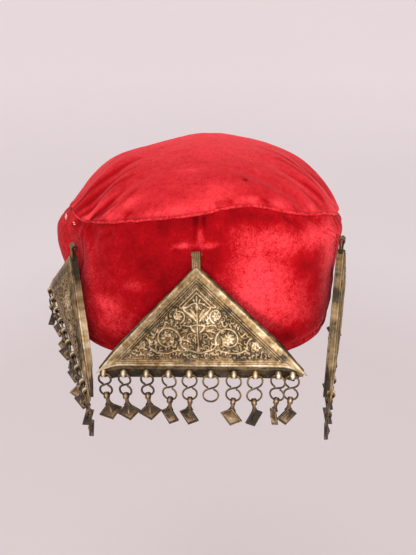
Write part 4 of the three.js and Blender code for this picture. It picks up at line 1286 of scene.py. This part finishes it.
def ribbed_bail(name, material):
    """The bail: a ribbed section carried up, over the thread and down again.

    The two legs close on each other under the thread. Each rib is a row of slanting beads.
    """
    legs = np.linspace(-APEX_DROP - 2.2, 0, 16, endpoint=False)
    arch = np.radians(np.linspace(180, 0, 25))
    pinched = BAIL_PINCH + (BAIL_REACH - BAIL_PINCH) * bell(legs, 0, 1.8)
    y = np.concatenate([-pinched, BAIL_REACH * np.cos(arch), pinched[::-1]])
    z = np.concatenate([legs, BAIL_REACH * np.sin(arch), legs[::-1]])
    out_y = np.concatenate([np.full_like(legs, -1), np.cos(arch), np.full_like(legs, 1)])
    out_z = np.concatenate([0 * legs, np.sin(arch), 0 * legs])
    across = np.linspace(-1, 1, 33)
    ribs = 0.34 * np.abs(np.cos(2.5 * np.pi * across)) ** 0.8 * np.sqrt(np.clip(1.02 - across**6, 0, 1))
    way = np.cumsum(np.hypot(np.diff(y, prepend=y[0]), np.diff(z, prepend=z[0])))
    twist = 1 + 0.28 * np.sin(way[:, None] * 3.6 + 6 * np.pi * across[None, :])
    beads = ribs[None, :] * twist

    def layer(height):
        """The strip's points at a height over its middle, which may differ from point to point."""
        x = np.broadcast_to(BAIL_WIDTH / 2 * across, height.shape)
        return np.stack([x, y[:, None] + out_y[:, None] * height, z[:, None] + out_z[:, None] * height], -1)

    points, faces = closed_shell(layer(0.25 + beads), layer(np.full_like(beads, -0.6)))
    # The side triangles' bails are darkened by the same painted shade.
    tone = np.tile((0.12 - AMULETS[name]["painted_shade"] + 1.5 * beads).ravel(), 2)
    return silver_piece(name, "bail", points, faces[:, ::-1], material, tone)


def case_loops(name, material):
    """The ten strip loops under a case: each is a bead-like ring, painted bright round its outer middle as
    a painted highlight.
    """
    ring, ring_faces = ring_of_strip(*LOOP_STRIP, 30, 16)
    # A painted highlight round the outer middle of each loop.
    painted_glint = bell(ring[:, 0], 0, 0.75) * (np.hypot(ring[:, 1], ring[:, 2]) > 1.9)
    parts = [(ring + middle, ring_faces) for middle in loop_middles()]
    points, faces = together(*parts)
    return silver_piece(name, "loops", points, faces, material, np.tile(0.2 + 1.265 * painted_glint, len(parts)))


def hook_height():
    """Height of a hook of size 1 between the middles of its wire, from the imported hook."""
    low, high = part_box("front_hook_01")
    return ((high[2] - low[2]) / MM - 2 * WIRE_FLAT) / DROPS["front"][0][0]


def hook_path(size, steps=34):
    """Line of an S hook: an oval eye, a slanting bridge and the same eye turned about the middle."""
    rise = -EYE_TALL / np.sin(np.radians(EYE_END))
    angle = np.radians(np.linspace(EYE_START, EYE_END, steps))
    upper = np.stack([-EYE_WIDE * np.cos(angle), 0 * angle, rise + EYE_TALL * np.sin(angle)], -1)
    bridge = upper[-1] * np.linspace(1, -1, 6)[1:-1, None]
    path = np.concatenate([upper, bridge, -upper[::-1]])
    for _ in range(2):
        path[1:-1] = (path[:-2] + 2 * path[1:-1] + path[2:]) / 4
    tall = hook_height() / (2 * (rise + EYE_TALL))
    return (path * (1, 1, tall)) * size - (0, 0, hook_height() * size / 2 + SLACK)


def hook_reach(size):
    """From the middle of a loop down to the middle of the bail that hangs from its hook."""
    return hook_height() * size + 2 * SLACK


def square_drop(stamp):
    """A stamped square: a square net on its corner, with a raised border and a low pyramid.

    Its back follows its front at the sheet's thickness, with two faint square lines. Its lower
    half is painted lighter, towards amber, as a painted highlight. A plain stamp has a ridge over
    its peak that is bright with a painted highlight as well as wear, a nested one has a square
    line inside another, and a smooth one is rubbed down.
    """
    net = np.linspace(-1, 1, 31)
    a, b = np.meshgrid(net, net, indexing="ij")
    x, z = SQUARE_REACH * (a - b) / 2, SQUARE_REACH * (a + b) / 2
    m = np.maximum(np.abs(a), np.abs(b))
    border, groove = bell(m, 0.92, 0.075), bell(m, 0.8, 0.045)
    squares = bell(m, 0.62, 0.05) + bell(m, 0.4, 0.06)
    peak = np.clip(1 - m / 0.78, 0, 1)
    height = 0.34 * border - 0.16 * groove + SQUARE_PEAK * peak
    # The lower half is painted lighter, towards amber, as a painted highlight.
    lower = 0.5 - 0.5 * np.tanh(z / 1.6)
    tone = 0.22 + 0.32 * border - 0.25 * groove + 0.5 * lower * (m < 0.8)
    if stamp == "plain":
        ridge = bell(x, 0, 0.5) * bell(z, 1.5, 1.5)
        height = height + 0.28 * ridge
        # The ridge is painted bright: a painted highlight along it, besides its wear.
        tone = tone + 0.6 * ridge
    if stamp == "nested":
        height = height + 0.22 * squares
        tone = tone + 0.34 * squares
    if stamp == "smooth":
        tone = tone + 0.26 + 0.16 * peak
    front = np.stack([x, -SQUARE_SHEET / 2 - height, z - SQUARE_REACH], -1)
    sunk = SQUARE_PEAK * peak + 0.2 * border - 0.18 * squares
    back = np.stack([x, SQUARE_SHEET / 2 - sunk, z - SQUARE_REACH], -1)
    behind = 0.1 + 0.252 * squares + 0.2 * border
    points, faces = closed_shell(front, back)
    return (points - (0, 0, DROP_NECK), faces[:, ::-1]), np.concatenate([tone.ravel(), behind.ravel()])


# The strip's two ends, closed on each other and drawn out of the square's top corner.
NECK = np.array([
    # height, half width, half thickness
    (-1.1, 1.4, 1.2), (-1.9, 1.3, 1.1), (-2.8, 1.2, 0.9), (-3.8, 1.15, 0.75),
    (-4.8, 1.3, 0.68), (-5.8, 1.8, 0.6), (-6.9, 2.5, 0.5),
])


def neck():
    """Ovals of changing size one over the other, dark where the strip's two ends meet."""
    z, wide, thick = NECK.T
    turn = np.linspace(0, 2 * np.pi, 16, endpoint=False)
    points = np.stack([wide[:, None] * np.cos(turn), thick[:, None] * np.sin(turn),
                       z[:, None] + 0 * turn], -1)
    rows, sides = points.shape[:2]
    numbers = np.arange(rows * sides).reshape(rows, sides)
    ends = [np.stack([np.full(sides - 2, ring[0]), ring[1:-1], ring[2:], ring[2:]], -1)
            for ring in (numbers[0], numbers[-1, ::-1])]
    tone = np.clip(0.3 + 0.45 * np.abs(np.sin(turn)) - 0.06 * np.arange(rows)[:, None], 0, 1)
    return (points.reshape(-1, 3), np.concatenate([ring_walls(rows, sides), *ends])), tone.ravel()


def hook_parts(size):
    """The wire, with a tone that is brighter on the outside of its bends."""
    path = hook_path(size)
    points, faces = tube(path, WIRE if size > 1 else HEAVY_WIRE, 10)
    x, z = points[:, 0], points[:, 2] - path[:, 2].mean()
    eye = hook_height() * size / 4
    out = np.hypot(x / EYE_WIDE, (z - np.where(z > 0, eye, -eye)) / eye)
    return (points, faces), np.clip(0.42 + 1.6 * (out - 1), 0.15, 0.8)


def drop_parts(turn, stamp):
    """The strip bail, its neck and the square turned about the plumb line.

    The neck takes half of the turn, or the turn less half round where the square shows its back.
    """
    ring, ring_faces = ring_of_strip(*BAIL_STRIP, 24, 12)
    lit = 0.3 + 0.5 * bell(ring[:, 0], 0, 0.7) * (np.hypot(ring[:, 1], ring[:, 2]) > 1.75)
    (stem, stem_faces), stem_tone = neck()
    stem = stem @ turned(turn / 2 if abs(turn) < 100 else turn - 180, "z").T
    (square, square_faces), tone = square_drop(stamp)
    square = square @ turned(turn, "z").T
    parts = together((ring, ring_faces), (stem, stem_faces), (square, square_faces))
    return parts, np.concatenate([lit, stem_tone, tone])


def hang_front_hook(index, eye, row, yaw, material):
    """One hook of the front triangle, turned about the plumb line through its loop."""
    size, turn = row[:2]
    (points, faces), tone = hook_parts(size)
    points = points @ turned(yaw + turn, "z").T + eye
    piece = new_piece(f"hook_{index:02d}", points, faces, "front_amulet", material,
                      [("worn", tone)])
    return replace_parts(piece, f"front_hook_{index:02d}")


def hang_front_drop(index, eye, row, yaw, material):
    """One drop of the front triangle, swung about the foot of its hook."""
    size, turn, square_turn, swing, stamp = row
    (points, faces), tone = drop_parts(square_turn, stamp)
    points = points @ (turned(yaw + turn, "z") @ turned(swing, "y")).T + eye - (0, 0, hook_reach(size))
    piece = new_piece(f"drop_{index:02d}", points, faces, "front_amulet", material,
                      [("worn", tone)])
    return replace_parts(piece, f"front_drop_{index:02d}")


def hang_side_drop(name, index, eye, row, yaw, material):
    """A hook and a drop of a side triangle in one, swung together about their loop."""
    size, turn, square_turn, swing, stamp = row
    hook, hook_tone = hook_parts(size)
    (points, faces), tone = drop_parts(square_turn, stamp)
    points, faces = together(hook, (points - (0, 0, hook_reach(size)), faces))
    points = points @ (turned(yaw + turn, "z") @ turned(swing, "y")).T + eye
    piece = new_piece(f"{name}_hook_and_drop_{index:02d}", points, faces, f"{name}_amulet",
                      material, [("worn", np.concatenate([hook_tone, tone]))])
    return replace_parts(piece, f"{name}_drop_{index:02d}")


def on_cloth(point, inset):
    """The place on the band's skin beside a point, at its height and a little further round."""
    turn = np.degrees(np.arctan2(point[0], -point[1])) * 1.08
    level = min(point[2] / seam_height(turn), 0.97)
    return band_skin(turn, level, inset)


def bail_thread(name, material):
    """Two turns of sewing thread through a bail, each a smooth curve from the cloth to the cloth."""
    parts = []
    for lift, spread in THREAD_TURNS:
        beside = (BAIL_WIDTH / 2 + spread) * np.array([[-1.0], [1.0]])
        in_bail = np.concatenate([beside * (1, 0, 0), beside * (1.18, 0, 0)]) + (0, 0, lift)
        left, right, left_out, right_out = hung(name, in_bail)
        roots = [on_cloth(place, 0.6) - (0, 0, 1.5 * lift) for place in (left_out, right_out)]
        bows = [(root + out) / 2 + (0, 0, 0.3) for root, out in zip(roots, (left_out, right_out))]
        path = np.stack([roots[0], bows[0], left_out, left, right, right_out, bows[1], roots[1]])
        table = {"at": np.arange(len(path)), "x": path[:, 0], "y": path[:, 1], "z": path[:, 2]}
        step = np.linspace(0, len(path) - 1, 60)
        line = np.stack([through(table, "at", c, step) for c in "xyz"], -1)
        parts.append(tube(line, THREAD, 7, (0, 0, 1)))
    points, faces = together(*parts)
    piece = new_piece(f"{name}_bail_thread", points, faces, "cap", material)
    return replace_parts(piece, f"{name}_thread")


# ---------------------------------------------------------------- stage
def curved_floor():
    """A round floor: flat under the cap, and far away it curves up as the square of the way."""
    reach = np.concatenate([np.linspace(0, FLOOR_FLAT, 5), np.linspace(FLOOR_FLAT + 0.2, 6, 22)])[:, None]
    turn = np.linspace(0, 2 * np.pi, 48, endpoint=False)[None, :]
    level = FLOOR_LEVEL + 0.16 * np.clip(reach - FLOOR_FLAT, 0, None) ** 2
    points = np.stack(np.broadcast_arrays(reach * np.cos(turn), reach * np.sin(turn), level), -1)
    rings, sides = points.shape[:2]
    faces = [tuple(dict.fromkeys(face)) for face in ring_walls(rings, sides).tolist()]
    mesh = bpy.data.meshes.new("floor")
    mesh.from_pydata(points.reshape(-1, 3).tolist(), [], faces)
    mesh.polygons.foreach_set("use_smooth", np.full(len(mesh.polygons), True))
    far = np.repeat(np.clip(reach.ravel() / 3, 0, 1), sides).astype(np.float32)
    mesh.attributes.new("far", "FLOAT", "POINT").data.foreach_set("value", far)
    f = Finish("pale floor")
    cloudy = f.spread(f.noise(3, 3), 0.06)
    shade = f.ramp(f.maths("ADD", f.reads("far"), cloudy), (
        (0.15, (0.63, 0.575, 0.58)), (0.28, (0.735, 0.68, 0.69)), (0.9, (0.9, 0.835, 0.84))))
    mesh.materials.append(f.set(Base_Color=shade, Roughness=0.9, Specular_IOR_Level=0.1))
    floor = bpy.data.objects.new("floor", mesh)
    bpy.context.scene.collection.objects.link(floor)
    return floor


def hang_lamp(light, place, aim):
    """Puts a light at its place and turns it to what it lights."""
    lamp = bpy.data.objects.new(light.name, light)
    lamp.location = place
    lamp.rotation_euler = (Vector(aim) - lamp.location).to_track_quat("-Z", "Y").to_euler()
    bpy.context.scene.collection.objects.link(lamp)


def set_camera(scene):
    """The camera in front of the cap and over it, looking down."""
    data = bpy.data.cameras.new("camera")
    data.sensor_width, data.lens = CAMERA_SENSOR, CAMERA_LENS
    camera = bpy.data.objects.new("camera", data)
    camera.location = CAMERA_PLACE
    camera.rotation_euler = (np.radians(90 - CAMERA_DOWN), 0, 0)
    scene.collection.objects.link(camera)
    scene.camera = camera


# ---------------------------------------------------------------- operators
class KASABA_OT_velvet(bpy.types.Operator):
    """Make the crown of smooth velvet, the two bands of crushed velvet and the crown's pile"""

    bl_idname = "kasaba.velvet"
    bl_label = "Velvet cap"

    def execute(self, context):
        wall = context.scene.kasaba_velvet.wall / MM
        smooth = velvet_finish("smooth red velvet", 0.5)
        material = velvet_finish("crushed red velvet", 1.0)
        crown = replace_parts(velvet_crown(smooth, wall), "crown")
        seam_pile(material)
        front = velvet_band("velvet_front_band", LEFT_CORNER, RIGHT_CORNER, FRONT_GRID, material, wall)
        back = velvet_band("velvet_back_band", RIGHT_CORNER, LEFT_CORNER + 360, BACK_GRID, material, wall)
        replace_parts(front, "front_band")
        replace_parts(back, "back_band")
        return {"FINISHED"}


class KASABA_OT_stitches(bpy.types.Operator):
    """Sew the hem and the left corner"""

    bl_idname = "kasaba.stitches"
    bl_label = "Stitches"

    def execute(self, context):
        hem_stitches(thread_finish("hem thread", (0.36, 0.003, 0.01)))
        corner_stitches(thread_finish("pale thread", (0.9, 0.62, 0.56)))
        return {"FINISHED"}


class KASABA_OT_triangles(bpy.types.Operator):
    """Make the three chased cases with their bails and loops"""

    bl_idname = "kasaba.triangles"
    bl_label = "Silver triangles"

    def execute(self, context):
        material = silver_finish()
        height_map = ornament()
        outlines = np.clip(widened(height_map, 3) - 2 * height_map, 0, 1)
        relief = context.scene.kasaba_metal.relief / MM
        for number, name in enumerate(AMULETS):
            face = chased_face(name, height_map, outlines, material, relief, 40 + 10 * number)
            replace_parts(face, f"{name}_case")
            case_walls(name, material, 70 + 10 * number)
            ribbed_bail(name, material)
            case_loops(name, material)
        return {"FINISHED"}


class KASABA_OT_drops(bpy.types.Operator):
    """Hang the hooks and the stamped drops"""

    bl_idname = "kasaba.drops"
    bl_label = "Hooks and drops"

    def execute(self, context):
        material = patina_finish()
        for name, way in AMULETS.items():
            eyes = hung(name, loop_middles())
            for index, (eye, row) in enumerate(zip(eyes, DROPS[name]), 1):
                if name != "front":
                    hang_side_drop(name, index, eye, row, way["yaw"], material)
                    continue
                hang_front_hook(index, eye, row, way["yaw"], material)
                if row[2] is not None:
                    hang_front_drop(index, eye, row, way["yaw"], material)
        return {"FINISHED"}


class KASABA_OT_threads(bpy.types.Operator):
    """Sew each bail to the cap"""

    bl_idname = "kasaba.threads"
    bl_label = "Threads"

    def execute(self, context):
        material = thread_finish("sewing thread", (0.6, 0.01, 0.018))
        for name in AMULETS:
            bail_thread(name, material)
        return {"FINISHED"}


class KASABA_OT_stage(bpy.types.Operator):
    """Set the floor, the lights and the camera"""

    bl_idname = "kasaba.stage"
    bl_label = "Stage"

    def execute(self, context):
        context.scene.view_settings.view_transform = "Standard"
        curved_floor()
        world = context.scene.world or bpy.data.worlds.new("studio")
        context.scene.world = world
        world.use_nodes = True
        background = world.node_tree.nodes["Background"]
        background.inputs["Color"].default_value = WORLD_TINT
        background.inputs["Strength"].default_value = WORLD_STRENGTH
        for name, place, aim, size, power, tint in AREA_LAMPS:
            light = bpy.data.lights.new(name, "AREA")
            light.size, light.energy, light.color = size, power, tint
            hang_lamp(light, place, aim)
        name, place, aim, size, power, cone = CORNER_SPOT
        spot = bpy.data.lights.new(name, "SPOT")
        spot.shadow_soft_size, spot.energy = size, power
        spot.spot_size, spot.spot_blend = np.radians(cone), 1.0
        hang_lamp(spot, place, aim)
        set_camera(context.scene)
        return {"FINISHED"}


class KASABA_PT_panel(bpy.types.Panel):
    """Lists what the cap is made of"""

    bl_label = "Kasaba cap"
    bl_space_type = "VIEW_3D"
    bl_region_type = "UI"
    bl_category = "Kasaba cap"

    def draw(self, context):
        layout = self.layout
        for settings in (context.scene.kasaba_velvet, context.scene.kasaba_metal):
            box = layout.box()
            for field in settings.__annotations__:
                box.prop(settings, field)
        for operator in STEPS:
            layout.operator(operator.bl_idname)


STEPS = (KASABA_OT_stage, KASABA_OT_velvet, KASABA_OT_stitches, KASABA_OT_triangles,
         KASABA_OT_drops, KASABA_OT_threads)
CLASSES = (VelvetSettings, MetalSettings, *STEPS, KASABA_PT_panel)


def register():
    for cls in CLASSES:
        bpy.utils.register_class(cls)
    bpy.types.Scene.kasaba_velvet = bpy.props.PointerProperty(type=VelvetSettings)
    bpy.types.Scene.kasaba_metal = bpy.props.PointerProperty(type=MetalSettings)


def unregister():
    del bpy.types.Scene.kasaba_metal
    del bpy.types.Scene.kasaba_velvet
    for cls in reversed(CLASSES):
        bpy.utils.unregister_class(cls)


def main():
    register()
    bpy.ops.kasaba.stage()
    bpy.ops.kasaba.velvet()
    bpy.ops.kasaba.stitches()
    bpy.ops.kasaba.triangles()
    bpy.ops.kasaba.drops()
    bpy.ops.kasaba.threads()


if __name__ == "__main__":
    main()
